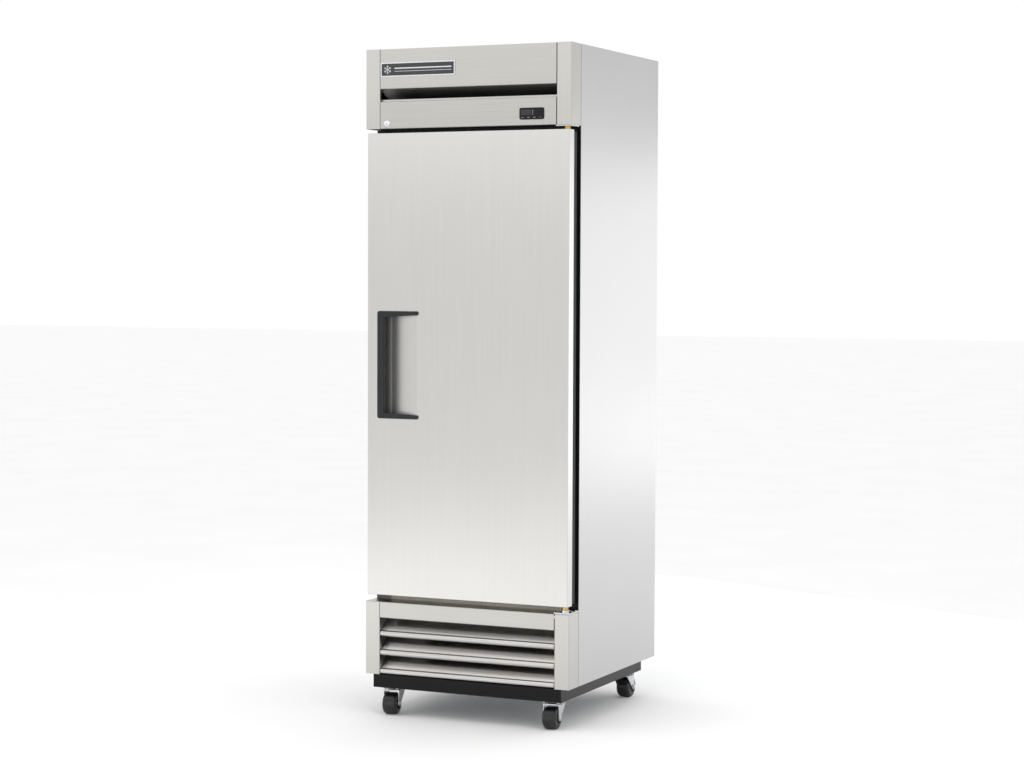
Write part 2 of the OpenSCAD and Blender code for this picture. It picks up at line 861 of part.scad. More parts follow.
// Clips that carry the shelf corners
module shelf_clips() {
    x = inner_x - liner_t - pilaster_t;
    w = 14;
    h = 9;
    t = 3;
    color("silver") on_base() for (side = [0, 1], y = pilaster_ys(), i = [0 : shelf_count - 1])
        mirror([side, 0, 0]) translate([x - clip_l, y - w / 2, shelf_z(i) - rod_r - t])
        difference() {
            cube([clip_l, w, h]);
            translate([-1, -1, t]) cube([clip_l - 1, w + 2, h]);
        }
}

// One wire shelf: a frame of four rods, two cross bars and the deck wires on top
module wire_shelf() {
    count = floor(2 * (shelf_x - rod_r) / wire_pitch);
    for (x = [-shelf_x + rod_r, shelf_x - rod_r]) translate([x, 0, 0]) rod_y(shelf_y0, shelf_y1, rod_r);
    for (y = [shelf_y0 + rod_r, (shelf_y0 + shelf_y1) / 2, shelf_y1 - rod_r])
        translate([0, y, 0]) block([-shelf_x + rod_r, -rod_r, -rod_r], [shelf_x - rod_r, rod_r, rod_r]);
    for (i = [1 : count - 1]) translate([-shelf_x + rod_r + i * 2 * (shelf_x - rod_r) / count, 0, rod_r])
        rod_y(shelf_y0 + 1, shelf_y1 - 1, wire_r);
}

module wire_shelves() {
    color("white") on_base() for (i = [0 : shelf_count - 1]) translate([0, 0, shelf_z(i)]) wire_shelf();
}

// Lower bracket on the grille and upper bracket under the header, each with its pin
module hinge_brackets() {
    plate = [half_w - end_cap_w - 4, 4, 0];
    far = [half_w - 1, bracket_d, 0];
    color("silver") on_base() {
        block(plate + [0, 0, grille_h], far + [0, 0, grille_h + bracket_t]);
        translate([hinge_x, hinge_back, grille_h]) {
            cylinder(r = boss_r, h = bracket_t + boss_h);
            cylinder(r = pin_r, h = door_z0 + bush_l - grille_h);
        }
        block(plate + [0, 0, header_z - bracket_t], far + [0, 0, header_z]);
        translate([hinge_x, hinge_back, door_z1 - bush_l])
            cylinder(r = pin_r, h = header_z - door_z1 + bush_l - 1);
    }
}

// Bushes in the door, running on the hinge pins
module hinge_bushes() {
    low_z = grille_h + bracket_t + boss_h + washer_gap;
    high_z = header_z - bracket_t - washer_gap;
    color("gold") on_base() translate([hinge_x, hinge_back, 0]) difference() {
        union() {
            translate([0, 0, low_z]) cylinder(r = bush_r, h = door_z0 + bush_l - low_z);
            translate([0, 0, door_z1 - bush_l]) cylinder(r = bush_r, h = high_z - door_z1 + bush_l);
        }
        cylinder(r = pin_r + run_gap, h = cabinet_h);
    }
}

// Wedge of the handle pocket, grown outwards by t
module pocket_wedge(t) {
    x0 = handle_x0 + pocket_wall - t;
    x1 = handle_x1 - pocket_wall;
    deep = handle_x0 + grip_w + pocket_flat;
    slope_t = t * norm([x1 - deep, pocket_d]) / pocket_d;
    translate([0, 0, handle_z0 + pocket_edge - t])
        linear_extrude(handle_h - 2 * pocket_edge + 2 * t)
        polygon([[x0, -1], [x1 + slope_t, -1], [x1 + slope_t, 0], [deep + t, pocket_d + t - sheet],
            [x0, pocket_d + t - sheet]]);
}

// Bores for the hinge bushes and the slot for the lock's cam
module door_cuts() {
    translate([hinge_x, hinge_back, 0]) {
        translate([0, 0, door_z0 - 1]) cylinder(r = bush_r, h = bush_l + 1);
        translate([0, 0, door_z1 - bush_l]) cylinder(r = bush_r, h = bush_l + 1);
    }
    cam_slot(door_z1 - 16, door_z1 + 1);
}

// Door pan: front face with the pocket pressed into it, and four edges turned back
module door_skin() {
    color("gainsboro") on_base() difference() {
        union() {
            difference() {
                block([-door_x, 0, door_z0], [door_x, pan_d, door_z1]);
                block([-door_x + sheet, sheet, door_z0 + sheet],
                    [door_x - sheet, pan_d + 1, door_z1 - sheet]);
            }
            intersection() {
                pocket_wedge(sheet);
                block([-door_x, 0, door_z0], [door_x, pan_d + 1, door_z1]);
            }
        }
        pocket_wedge(0);
        door_cuts();
    }
}

module door_foam() {
    x = liner_x - door_liner_t;
    inset = liner_inset + door_liner_t;
    color("khaki") on_base() difference() {
        union() {
            block([-door_x + sheet, sheet, door_z0 + sheet], [door_x - sheet, pan_d, door_z1 - sheet]);
            block([-x, pan_d, door_z0 + inset], [x, pan_d + door_liner_d - door_liner_t, door_z1 - inset]);
        }
        pocket_wedge(sheet);
        door_cuts();
    }
}

// Inner pan of the door, inside the gasket
module door_liner() {
    x = liner_x - door_liner_t;
    inset = liner_inset + door_liner_t;
    color("lightgray") on_base() difference() {
        block([-liner_x, pan_d, door_z0 + liner_inset],
            [liner_x, pan_d + door_liner_d, door_z1 - liner_inset]);
        block([-x, pan_d - 1, door_z0 + inset], [x, pan_d + door_liner_d - door_liner_t, door_z1 - inset]);
    }
}

// Magnetic gasket with its retainer, closing on the breaker strips
module door_gasket() {
    x = door_x - gasket_inset;
    color("black") on_base() difference() {
        block([-x, pan_d, door_z0 + gasket_inset], [x, gasket_y1, door_z1 - gasket_inset]);
        block([-liner_x, pan_d - 1, door_z0 + liner_inset], [liner_x, gasket_y1 + 1, door_z1 - liner_inset]);
    }
}

// Grip bar with an arm at each end that tapers to its tip
module door_handle() {
    x0 = handle_x0;
    x1 = handle_x0 + grip_w;
    z0 = handle_z0;
    z1 = handle_z1;
    color([0.16, 0.17, 0.18]) on_base() {
        block([x0, -handle_proud, z0], [x1, 0, z1]);
        block([x0 + pocket_wall, 0, z0 + pocket_edge], [x1, grip_d - handle_proud, z1 - pocket_edge]);
        rotate([90, 0, 0]) linear_extrude(handle_proud) {
            polygon([[x1, z0], [handle_x1, z0], [handle_x1, z0 + arm_tip], [x1, z0 + arm_root]]);
            polygon([[x1, z1], [handle_x1, z1], [handle_x1, z1 - arm_tip], [x1, z1 - arm_root]]);
        }
    }
}

// Plates bolted under the base, each with its bearing race and king pin
module caster_plates() {
    half = 31;
    bolt_r = 4.2;
    bolt_at = 23;
    race_r = 20;
    head_r = 10;
    head_h = 3;
    head_z = fork_top_z - fork_plate_t - washer_gap - head_h;
    color("silver") for (side = [-1, 1], rear = [0, 1]) translate(concat(caster_at(side, rear), [0])) {
        difference() {
            translate([-half, -half, caster_h - plate_t]) cube([2 * half, 2 * half, plate_t]);
            for (sx = [-1, 1], sy = [-1, 1]) translate([sx * bolt_at, sy * bolt_at, caster_h - plate_t - 1])
                cylinder(r = bolt_r, h = plate_t + 2);
        }
        translate([0, 0, fork_top_z + race_gap]) cylinder(r = race_r, h = race_h);
        translate([0, 0, head_z]) cylinder(r = king_r, h = fork_top_z + race_gap + 1 - head_z);
        translate([0, 0, head_z]) cylinder(r = head_r, h = head_h);
    }
}

// Heading of each caster's wheel about its swivel axis, in degrees
function heading(side, rear) = rear == 1 ? (side < 0 ? 171 : 180) : (side < 0 ? 7 : 4);

module caster_frame(side, rear) {
    translate(concat(caster_at(side, rear), [0])) rotate([0, 0, heading(side, rear)]) children();
}

// Fork: top plate with the king pin's bore, two tapering legs and the axle bolt
module caster_fork(side, rear) {
    leg_top = 28;
    boss = 9;
    nut_h = 4;
    end_x = leg_x + fork_t + nut_h + 1;
    top = fork_top_z;
    color("silver") caster_frame(side, rear) {
        difference() {
            translate([-leg_x - fork_t, -leg_top, top - fork_plate_t])
                cube([2 * (leg_x + fork_t), 2 * leg_top, fork_plate_t]);
            translate([0, 0, top - fork_plate_t - 1]) cylinder(r = king_r + run_gap, h = fork_plate_t + 2);
        }
        for (x = [-leg_x - fork_t, leg_x]) along_x(x, x + fork_t) union() {
            polygon([[-leg_top, top], [leg_top, top], [boss - trail, axle_z], [-boss - trail, axle_z]]);
            translate([-trail, axle_z]) circle(r = boss);
        }
        translate([0, -trail, axle_z]) {
            rod_x(-end_x, end_x, axle_r);
            for (x = [-leg_x - fork_t - nut_h, leg_x + fork_t]) translate([x, 0, 0])
                rotate([0, 90, 0]) cylinder(r = 7, h = nut_h, $fn = 6);
        }
    }
}

module caster_fork_front_left() {
    caster_fork(-1, 0);
}

module caster_fork_front_right() {
    caster_fork(1, 0);
}

module caster_fork_rear_left() {
    caster_fork(-1, 1);
}

module caster_fork_rear_right() {
    caster_fork(1, 1);
}

// Wheel with a crowned tread, a recessed hub on each side and the axle's bore
module caster_wheel(side, rear) {
    r = wheel_d / 2;
    w = wheel_w / 2;
    crown = 9;
    hub_r = 10;
    recess = 2;
    bore_r = axle_r + run_gap;
    tread = [for (a = [90 : -15 : -90])
        [r - crown + crown * cos(a), (w - crown) * sign(a) + crown * sin(a)]];
    color("black") caster_frame(side, rear) translate([0, -trail, axle_z]) rotate([0, 90, 0])
        difference() {
            rotate_extrude() polygon(concat([[bore_r, w]], tread, [[bore_r, -w]]));
            for (z = [-w - 1, w - recess]) translate([0, 0, z]) difference() {
                cylinder(r = r - crown - 4, h = recess + 1);
                translate([0, 0, -1]) cylinder(r = hub_r, h = recess + 3);
            }
        }
}

module caster_wheel_front_left() {
    caster_wheel(-1, 0);
}

module caster_wheel_front_right() {
    caster_wheel(1, 0);
}

module caster_wheel_rear_left() {
    caster_wheel(-1, 1);
}

module caster_wheel_rear_right() {
    caster_wheel(1, 1);
}

// Round rubber bumpers that keep the back off the kitchen wall
module rear_bumpers() {
    inset = 60;
    color("black") on_base() for (x = [-1, 1], z = [floor_z + inset, ceiling_z - inset])
        translate([x * (half_w - inset), 0, z]) rod_y(back_y + sheet, cabinet_d + bumper_proud, 12);
}

// Head of a cross-recess screw, towards -Y
module screw_head(r, h) {
    arm = r * 0.7;
    slot = 0.6;
    y1 = 0.9 - h;
    difference() {
        rod_y(-h, 0, r);
        block([-arm, -h - 1, -slot], [arm, y1, slot]);
        block([-slot, -h - 1, -arm], [slot, y1, arm]);
    }
}

// Screws of the rear grille, the back panel and the lower hinge bracket
module panel_screws() {
    head_r = 4;
    head_h = 2;
    edge = 24;
    color("silver") on_base() {
        for (x = [-1, 0, 1], z = [deck_t + edge / 2, foam_z0 - edge / 2])
            translate([x * (skin_x - edge), back_y + sheet, z])
            rotate([0, 0, 180]) screw_head(head_r, head_h);
        for (x = [-1, 1], i = [1 : 4])
            translate([x * (skin_x - edge), back_y + sheet, floor_z + i * (ceiling_z - floor_z) / 5])
            rotate([0, 0, 180]) screw_head(head_r, head_h);
        for (x = [hinge_x - 18, hinge_x + 8]) translate([x, bracket_d - edge / 2, grille_h + bracket_t])
            rotate([-90, 0, 0]) screw_head(head_r, head_h);
    }
}

side_panel_left();
side_panel_right();
top_panel();
back_panel();
cabinet_insulation();
cabinet_liner();
breaker_frame();
header_upper_panel();
header_lower_panel();
header_end_cap_left();
header_end_cap_right();
badge_plate();
controller_bezel();
controller_display();
lock_barrel();
grille_top_rail();
grille_post_left();
grille_post_right();
grille_louvres();
base_rails();
base_deck();
compressor();
condenser_coil();
condenser_shroud();
fan_motors();
refrigerant_lines();
drain_pan();
cord_gland();
rear_grille();
evaporator_cover();
evaporator_coil();
interior_lamp();
shelf_pilasters();
shelf_clips();
wire_shelves();
hinge_brackets();
caster_plates();
rear_bumpers();
panel_screws();
door_skin();
door_foam();
door_liner();
door_gasket();
door_handle();
hinge_bushes();
lock_plug();
button_1();
button_2();
button_3();
button_4();
condenser_fan_blade();
evaporator_fan_blade();
caster_fork_front_left();
caster_fork_front_right();
caster_fork_rear_left();
caster_fork_rear_right();
caster_wheel_front_left();
caster_wheel_front_right();
caster_wheel_rear_left();
caster_wheel_rear_right();
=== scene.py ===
"""Upright refrigerator with one solid door: finished pieces, materials and a plain studio round the frame."""
import json
from math import atan2, cos, pi, radians, sin, tan

import bmesh
import bpy
from mathutils import Matrix, Vector


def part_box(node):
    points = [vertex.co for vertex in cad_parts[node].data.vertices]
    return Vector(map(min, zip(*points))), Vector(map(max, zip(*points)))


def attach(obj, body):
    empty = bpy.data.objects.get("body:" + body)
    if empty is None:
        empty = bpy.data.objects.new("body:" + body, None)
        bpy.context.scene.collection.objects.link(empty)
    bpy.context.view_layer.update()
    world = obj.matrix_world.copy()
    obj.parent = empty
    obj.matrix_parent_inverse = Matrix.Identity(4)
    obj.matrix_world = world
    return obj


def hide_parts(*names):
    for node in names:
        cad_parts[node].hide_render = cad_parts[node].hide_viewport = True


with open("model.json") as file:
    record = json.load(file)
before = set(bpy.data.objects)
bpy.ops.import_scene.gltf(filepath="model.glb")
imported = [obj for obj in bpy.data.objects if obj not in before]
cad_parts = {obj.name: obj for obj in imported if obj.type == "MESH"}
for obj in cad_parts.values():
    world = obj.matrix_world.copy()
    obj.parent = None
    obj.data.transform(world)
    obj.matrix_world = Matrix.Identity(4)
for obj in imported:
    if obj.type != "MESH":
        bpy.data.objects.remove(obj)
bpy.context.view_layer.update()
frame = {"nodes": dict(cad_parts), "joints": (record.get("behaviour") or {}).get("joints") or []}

NODES = frame["nodes"]
JOINTS = {joint["name"]: joint for joint in frame["joints"]}
MM = 0.001

# Sheet metal
SHEET = 1.2 * MM
BEND = 2.6 * MM
SLOT_DROP = 33 * MM
SLOT_DEPTH = 60 * MM
LIP_BACK = 12 * MM
LIP_RISE = 7 * MM
POST_INNER = 14 * MM
POST_REAR = 12 * MM
PANEL_FLANGE = 15 * MM
RAIL_HEM = 14 * MM
LOUVRE_COUNT = 3
LOUVRE_LIP = 9 * MM
LOUVRE_SLOPE = radians(50)
LOUVRE_FLAT = 3 * MM

# Door
POCKET_WALL = 3 * MM
POCKET_EDGE = 9 * MM
POCKET_DEPTH = 30.8 * MM
POCKET_FLAT = 14 * MM
GRIP_WIDTH = 21.5 * MM
ARM_ROOT = 18 * MM
ARM_TIP = 12 * MM
HANDLE_PROUD = 4 * MM
GASKET_WIDTH = 23 * MM

# Casters
WHEEL_R = 34 * MM
WHEEL_HALF = 22 * MM
TRAIL = 22 * MM
FORK_T = 2.5 * MM
LEG_X = WHEEL_HALF + 1.5 * MM
AXLE_R = 4 * MM
FORK_HALF = 28 * MM
FORK_OUTER = LEG_X + FORK_T
RUN_GAP = 0.05 * MM


# ---------------------------------------------------------------- nodes and finishes

def linear(colour):
    """sRGB hex colour as linear RGBA."""
    parts = [int(colour[i:i + 2], 16) / 255 for i in (1, 3, 5)]
    return tuple(c / 12.92 if c <= 0.04045 else ((c + 0.055) / 1.055) ** 2.4 for c in parts) + (1.0,)


def add(tree, kind, values=None, **settings):
    """Adds a node: settings are its properties, and values its inputs, each a value or a socket to link."""
    node = tree.nodes.new(kind)
    for name, value in settings.items():
        setattr(node, name, value)
    for key, value in (values or {}).items():
        if isinstance(value, bpy.types.NodeSocket):
            tree.links.new(value, node.inputs[key])
        else:
            node.inputs[key].default_value = value
    return node


def finish(name, dark, pale, rough, grain, relief=0.0, **shader):
    """A material with a fine pattern, made of layers of (kind, size in metres, stretch, share).

    The layers together turn it from dark to pale. The first one also turns it from the first to the
    second roughness, and is relief metres high.
    """
    material = bpy.data.materials.new(name)
    material.use_nodes = True
    tree = material.node_tree
    tree.nodes.clear()
    place = add(tree, "ShaderNodeTexCoord").outputs["Object"]
    total, tones = 0.0, []
    for kind, size, stretch, share in grain:
        scale = tuple(1 / (size * s) for s in stretch)
        spot = add(tree, "ShaderNodeMapping", {"Vector": place, "Scale": scale})
        here = {"Vector": spot.outputs["Vector"], "Scale": 1.0}
        if kind == "cloud":
            tones.append(add(tree, "ShaderNodeTexNoise", {**here, "Detail": 2.0}).outputs["Fac"])
        elif kind == "crystal":
            cell = add(tree, "ShaderNodeTexVoronoi", here).outputs["Color"]
            tones.append(add(tree, "ShaderNodeSeparateColor", {"Color": cell}).outputs["Red"])
        else:
            tones.append(add(tree, "ShaderNodeTexVoronoi", here, feature="SMOOTH_F1").outputs["Distance"])
        total = add(tree, "ShaderNodeMath", {0: tones[-1], 1: share, 2: total},
                    operation="MULTIPLY_ADD").outputs["Value"]
    low, high = (0.0, 1.0) if grain[0][0] == "crystal" else (0.3, 0.7)
    spread = {"From Min": low, "From Max": high}
    share = add(tree, "ShaderNodeMapRange", {"Value": total, **spread}).outputs["Result"]
    colour = add(tree, "ShaderNodeMix", {"Factor": share, 6: linear(dark), 7: linear(pale)}, data_type="RGBA")
    polish = add(tree, "ShaderNodeMapRange",
                 {"Value": tones[0], **spread, "To Min": rough[0], "To Max": rough[1]})
    values = {key.replace("_", " ").title().replace("Ior", "IOR"): value for key, value in shader.items()}
    values["Base Color"] = colour.outputs[2]
    values["Roughness"] = polish.outputs["Result"]
    if relief:
        values["Normal"] = add(tree, "ShaderNodeBump", {
            "Height": tones[0], "Distance": relief, "Strength": 0.5}).outputs["Normal"]
    bsdf = add(tree, "ShaderNodeBsdfPrincipled", values)
    add(tree, "ShaderNodeOutputMaterial", {"Surface": bsdf.outputs["BSDF"]})
    return material


EVEN, ALONG_X, ALONG_Z = (1, 1, 1), (150, 1, 1), (1, 1, 150)


def brushed(name, dark, pale, rough, along):
    """Belt-brushed stainless sheet: soft reflections over fine parallel scratches, and a broad uneven sheen.

    The scratches are a tenth of a millimetre apart and are drawn 2 mm apart, so that they show.
    """
    grain = [("cloud", 2 * MM, along, 0.7), ("cloud", 300 * MM, EVEN, 0.3)]
    return finish(name, dark, pale, rough, grain, 0.008 * MM, metallic=1.0)


DOOR_STEEL = brushed("door_stainless", "#CAC9C6", "#CFCECB", (0.34, 0.37), ALONG_Z)
SIDE_STEEL = brushed("side_stainless", "#BABABA", "#BEBEBE", (0.36, 0.39), ALONG_Z)
TRIM_STEEL = brushed("trim_stainless", "#AFAEAA", "#B8B7B3", (0.32, 0.36), ALONG_X)
POST_STEEL = brushed("post_stainless", "#B6B5B1", "#BDBCB8", (0.32, 0.36), ALONG_Z)
BLADE_STEEL = brushed("blade_stainless", "#BFBDBA", "#CBC9C6", (0.22, 0.27), ALONG_X)
# Hot-dip galvanised sheet: a grey spangle of zinc crystals about 12 mm across
GALVANISED = finish("galvanised_sheet", "#8F9498", "#B9BDC0", (0.34, 0.5),
                    [("crystal", 12 * MM, EVEN, 1.0)], metallic=1.0)
# Aluminium sheet rolled with a pebble pattern, 4 mm from crest to crest, that scatters the light
STUCCO = finish("stucco_aluminium", "#C2C5C7", "#CFD2D4", (0.3, 0.42), [("pebble", 4 * MM, EVEN, 1.0)],
                0.3 * MM, metallic=1.0)
# Rolled aluminium fin stock: bright and faintly streaked
ALUMINIUM = finish("mill_aluminium", "#B2B5B7", "#C0C3C5", (0.28, 0.42), [("cloud", 3 * MM, (1, 1, 30), 1.0)],
                   metallic=1.0)
# Bright zinc plating on pressed steel: a slightly cloudy mirror
ZINC = finish("bright_zinc", "#BCBEC1", "#D4D5D7", (0.18, 0.32), [("cloud", 6 * MM, EVEN, 1.0)], metallic=1.0)
# Yellow chromate over zinc plating: brassy, with greenish clouds
YELLOW_ZINC = finish("yellow_zinc", "#8F8244", "#CDA95A", (0.22, 0.36), [("cloud", 5 * MM, EVEN, 1.0)],
                     metallic=1.0)
# Chromed die casting: a hard bright mirror with a little haze
CHROME = finish("polished_chrome", "#CFD0D2", "#DADBDD", (0.08, 0.16), [("cloud", 4 * MM, EVEN, 1.0)],
                metallic=1.0)
# Turned brass: warm and bright with fine tool rings
BRASS = finish("turned_brass", "#B99348", "#D0AD62", (0.2, 0.34), [("cloud", 0.8 * MM, (20, 20, 1), 1.0)],
               metallic=1.0)
# Drawn copper tube: pinkish metal with patches of brown tarnish
COPPER = finish("drawn_copper", "#8E5638", "#C98A63", (0.26, 0.42), [("cloud", 18 * MM, EVEN, 1.0)],
                metallic=1.0)
# Baked black enamel on steel: deep gloss over a slight orange peel. On the condenser fins it is painted shade
# for the dark seen between the louvres.
BLACK_ENAMEL = finish("black_enamel", "#070708", "#0B0B0D", (0.16, 0.24), [("cloud", 5 * MM, EVEN, 1.0)],
                      0.02 * MM, ior=1.5, specular_ior_level=0.2)
# Injection-moulded ABS with a spark-eroded grain: charcoal with a soft even sheen
CHARCOAL_ABS = finish("charcoal_abs", "#181B1D", "#202426", (0.38, 0.48),
                      [("cloud", 0.8 * MM, EVEN, 0.5), ("cloud", 30 * MM, EVEN, 0.5)], 0.03 * MM, ior=1.5,
                      specular_ior_level=0.35)
BLACK_ABS = finish("black_abs", "#09090B", "#0E0E10", (0.3, 0.4),
                   [("cloud", 0.8 * MM, EVEN, 0.5), ("cloud", 30 * MM, EVEN, 0.5)], 0.02 * MM, ior=1.5,
                   specular_ior_level=0.25)
GREY_ABS = finish("grey_abs", "#26282A", "#2E3032", (0.34, 0.42), [("cloud", 0.8 * MM, EVEN, 1.0)], 0.02 * MM,
                  ior=1.5, specular_ior_level=0.4)
# Dark tinted acrylic window: near black with a sharp gloss
ACRYLIC = finish("smoked_acrylic", "#131012", "#1B1618", (0.06, 0.14), [("cloud", 3 * MM, EVEN, 1.0)],
                 ior=1.49)
# Pad-printed ink and a small red lens: an uneven film
PALE_INK = finish("pale_ink", "#D8DBDF", "#E8EAED", (0.4, 0.6), [("cloud", 0.6 * MM, EVEN, 1.0)], ior=1.5)
RED_LENS = finish("red_lens", "#A81A17", "#D22A24", (0.2, 0.3), [("cloud", 0.6 * MM, EVEN, 1.0)], ior=1.5)
# Baked enamel on an aluminium plate: dark, smooth and glossy
PLATE_ENAMEL = finish("plate_enamel", "#0E1013", "#171A1E", (0.2, 0.28), [("cloud", 8 * MM, EVEN, 1.0)],
                      ior=1.5, coat_weight=0.3)
# Extruded soft vinyl: dark grey and matt, with fine draw lines
VINYL = finish("gasket_vinyl", "#26292B", "#3A3E41", (0.5, 0.62), [("cloud", 1.2 * MM, (1, 1, 40), 1.0)],
               0.03 * MM, ior=1.52)
# Moulded rubber: black, matt and slightly dusty
RUBBER = finish("moulded_rubber", "#101010", "#222221", (0.6, 0.75), [("cloud", 5 * MM, EVEN, 1.0)],
                0.03 * MM, ior=1.52)
# Moulded polyurethane tyre: black with a satin highlight and faint scuffs
POLYMER = finish("wheel_polymer", "#08090A", "#141517", (0.28, 0.42), [("cloud", 2.5 * MM, EVEN, 1.0)],
                 0.02 * MM, ior=1.5)
# Wire dipped in white epoxy: thick, smooth and glossy
COATED_WIRE = finish("coated_wire", "#DADBD9", "#ECEDEB", (0.24, 0.34), [("cloud", 6 * MM, EVEN, 1.0)],
                     ior=1.5, coat_weight=0.3)
# Extruded PVC strip: warm off-white with a dull sheen and draw lines
PVC = finish("extruded_pvc", "#CBC5B6", "#DBD6C9", (0.4, 0.5), [("cloud", 4 * MM, (1, 1, 30), 1.0)], ior=1.53)
# Foamed-in-place polyurethane: pale yellow, matt, with small cells
FOAM = finish("rigid_foam", "#D9C88F", "#E9DDB4", (0.8, 0.95), [("pebble", 1.5 * MM, EVEN, 1.0)], 0.3 * MM,
              ior=1.5)
# Moulded opal polycarbonate: white and milky
OPAL = finish("opal_diffuser", "#EAEAE4", "#F6F6F2", (0.28, 0.38), [("cloud", 10 * MM, EVEN, 1.0)], ior=1.58,
              subsurface_weight=0.2)
# Painted studio floor: plain, pale and matt
FLOOR_PAINT = finish("floor_paint", "#F8F8F8", "#FBFBFB", (0.85, 0.95), [("cloud", 0.5, EVEN, 1.0)])


# ---------------------------------------------------------------- outlines

def arc(centre, radius, start, stop, steps=6):
    """Points on an arc between two angles in radians."""
    return [(centre[0] + radius * cos(start + (stop - start) * i / steps),
             centre[1] + radius * sin(start + (stop - start) * i / steps)) for i in range(steps + 1)]


def rounded(points, radius, closed=False, steps=4):
    """A path with its corners rounded; radius is one number or a list with one for each point."""
    radii = radius if isinstance(radius, (list, tuple)) else [radius] * len(points)
    out = []
    for i, corner in enumerate(points):
        if radii[i] == 0 or not closed and i in (0, len(points) - 1):
            out.append(tuple(corner))
            continue
        here = Vector(corner)
        back = (Vector(points[i - 1]) - here).normalized()
        ahead = (Vector(points[(i + 1) % len(points)]) - here).normalized()
        half = back.angle(ahead) / 2
        reach = radii[i] / tan(half)
        centre = here + (back + ahead).normalized() * radii[i] / sin(half)
        first = here + back * reach - centre
        turn = first.angle_signed(here + ahead * reach - centre)
        for k in range(steps + 1):
            spoke = Matrix.Rotation(-turn * k / steps, 2) @ first
            out.append(tuple(centre + spoke))
    return out


def beside(path, gap):
    """The path moved gap to its left, mitred at its bends."""
    out = []
    for i, point in enumerate(path):
        before = Vector(path[max(i, 1)]) - Vector(path[max(i, 1) - 1])
        after = Vector(path[min(i + 1, len(path) - 1)]) - Vector(path[min(i + 1, len(path) - 1) - 1])
        n1 = Vector((-before.y, before.x)).normalized()
        n2 = Vector((-after.y, after.x)).normalized()
        out.append(tuple(Vector(point) + (n1 + n2) * gap / (1 + n1.dot(n2))))
    return out


def lifted(points, axis, height):
    """2-D points in 3-D: (y, z) along X, (x, z) along Y or (x, y) along Z."""
    if axis == "X":
        return [(height, a, b) for a, b in points]
    if axis == "Y":
        return [(a, height, b) for a, b in points]
    return [(a, b, height) for a, b in points]


# ---------------------------------------------------------------- meshes

def solid(name, verts, faces):
    """Object of a closed mesh with its doubles merged and its normals turned outwards."""
    bm = bmesh.new()
    made = [bm.verts.new(v) for v in verts]
    for face in faces:
        if len(set(face)) > 2:
            bm.faces.new([made[i] for i in face])
    return from_bmesh(name, bm)


def from_bmesh(name, bm):
    bmesh.ops.remove_doubles(bm, verts=bm.verts, dist=1e-6)
    bmesh.ops.recalc_face_normals(bm, faces=bm.faces)
    mesh = bpy.data.meshes.new(name)
    bm.to_mesh(mesh)
    bm.free()
    obj = bpy.data.objects.new(name, mesh)
    bpy.context.scene.collection.objects.link(obj)
    return obj


def baked(obj):
    """Replaces the object's mesh by the result of its modifiers."""
    graph = bpy.context.evaluated_depsgraph_get()
    graph.update()
    mesh = bpy.data.meshes.new_from_object(obj.evaluated_get(graph))
    obj.modifiers.clear()
    obj.data = mesh
    return obj


def softened(obj, width, steps=2, angle=35):
    """Rounds every edge sharper than the angle."""
    mod = obj.modifiers.new("edges", "BEVEL")
    mod.width = width
    mod.segments = steps
    mod.limit_method = "ANGLE"
    mod.angle_limit = radians(angle)
    mod.use_clamp_overlap = True
    return baked(obj)


def carved(obj, *cutters):
    """Takes other closed pieces out of this one."""
    for cutter in cutters:
        mod = obj.modifiers.new("cut", "BOOLEAN")
        mod.operation = "DIFFERENCE"
        mod.solver = "EXACT"
        mod.object = cutter
    baked(obj)
    for cutter in cutters:
        bpy.data.objects.remove(cutter)
    return obj


def merged(name, *parts):
    """One object of several separate closed pieces."""
    bm = bmesh.new()
    for part in parts:
        bm.from_mesh(part.data)
        bpy.data.objects.remove(part)
    mesh = bpy.data.meshes.new(name)
    bm.to_mesh(mesh)
    bm.free()
    obj = bpy.data.objects.new(name, mesh)
    bpy.context.scene.collection.objects.link(obj)
    return obj


def shaded(obj, angle=35):
    """Smooth shading that keeps flat faces flat and edges over the angle sharp."""
    obj.data.shade_smooth()
    obj.data.set_sharp_from_angle(angle=radians(angle))
    mod = obj.modifiers.new("flat faces", "WEIGHTED_NORMAL")
    mod.weight = 100
    mod.keep_sharp = True
    return baked(obj)


def piece(obj, name, finish, slot, body, *nodes, angle=35):
    """Names, shades and paints a finished piece, and hangs it on its body in place of CAD nodes."""
    shaded(obj, angle)
    obj.name = name
    obj.data.name = name
    obj.data.materials.clear()
    obj.data.materials.append(finish)
    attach(obj, body)
    if nodes:
        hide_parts(*nodes)
    return obj


def block(low, high):
    """A box between two corners."""
    (x0, y0, z0), (x1, y1, z1) = low, high
    verts = [(x, y, z) for x in (x0, x1) for y in (y0, y1) for z in (z0, z1)]
    faces = [(0, 1, 3, 2), (4, 6, 7, 5), (0, 4, 5, 1), (2, 3, 7, 6), (0, 2, 6, 4), (1, 5, 7, 3)]
    return solid("block", verts, faces)


def fold(path, axis, low, high, radius=BEND, thick=SHEET):
    """Bent sheet: a path with rounded bends, thick to its left, drawn out along an axis."""
    outer = rounded(path, radius) if radius else list(path)
    inner = beside(outer, thick)
    count = len(outer)
    verts = [v for height in (low, high) for side in (outer, inner) for v in lifted(side, axis, height)]
    faces = []
    for i in range(count - 1):
        faces.append((i, i + 1, i + 1 + 2 * count, i + 2 * count))
        faces.append((i + count, i + 1 + count, i + 1 + 3 * count, i + 3 * count))
        faces.append((i, i + 1, i + 1 + count, i + count))
        faces.append((i + 2 * count, i + 1 + 2 * count, i + 1 + 3 * count, i + 3 * count))
    for i in (0, count - 1):
        faces.append((i, i + count, i + 3 * count, i + 2 * count))
    return solid("fold", verts, faces)


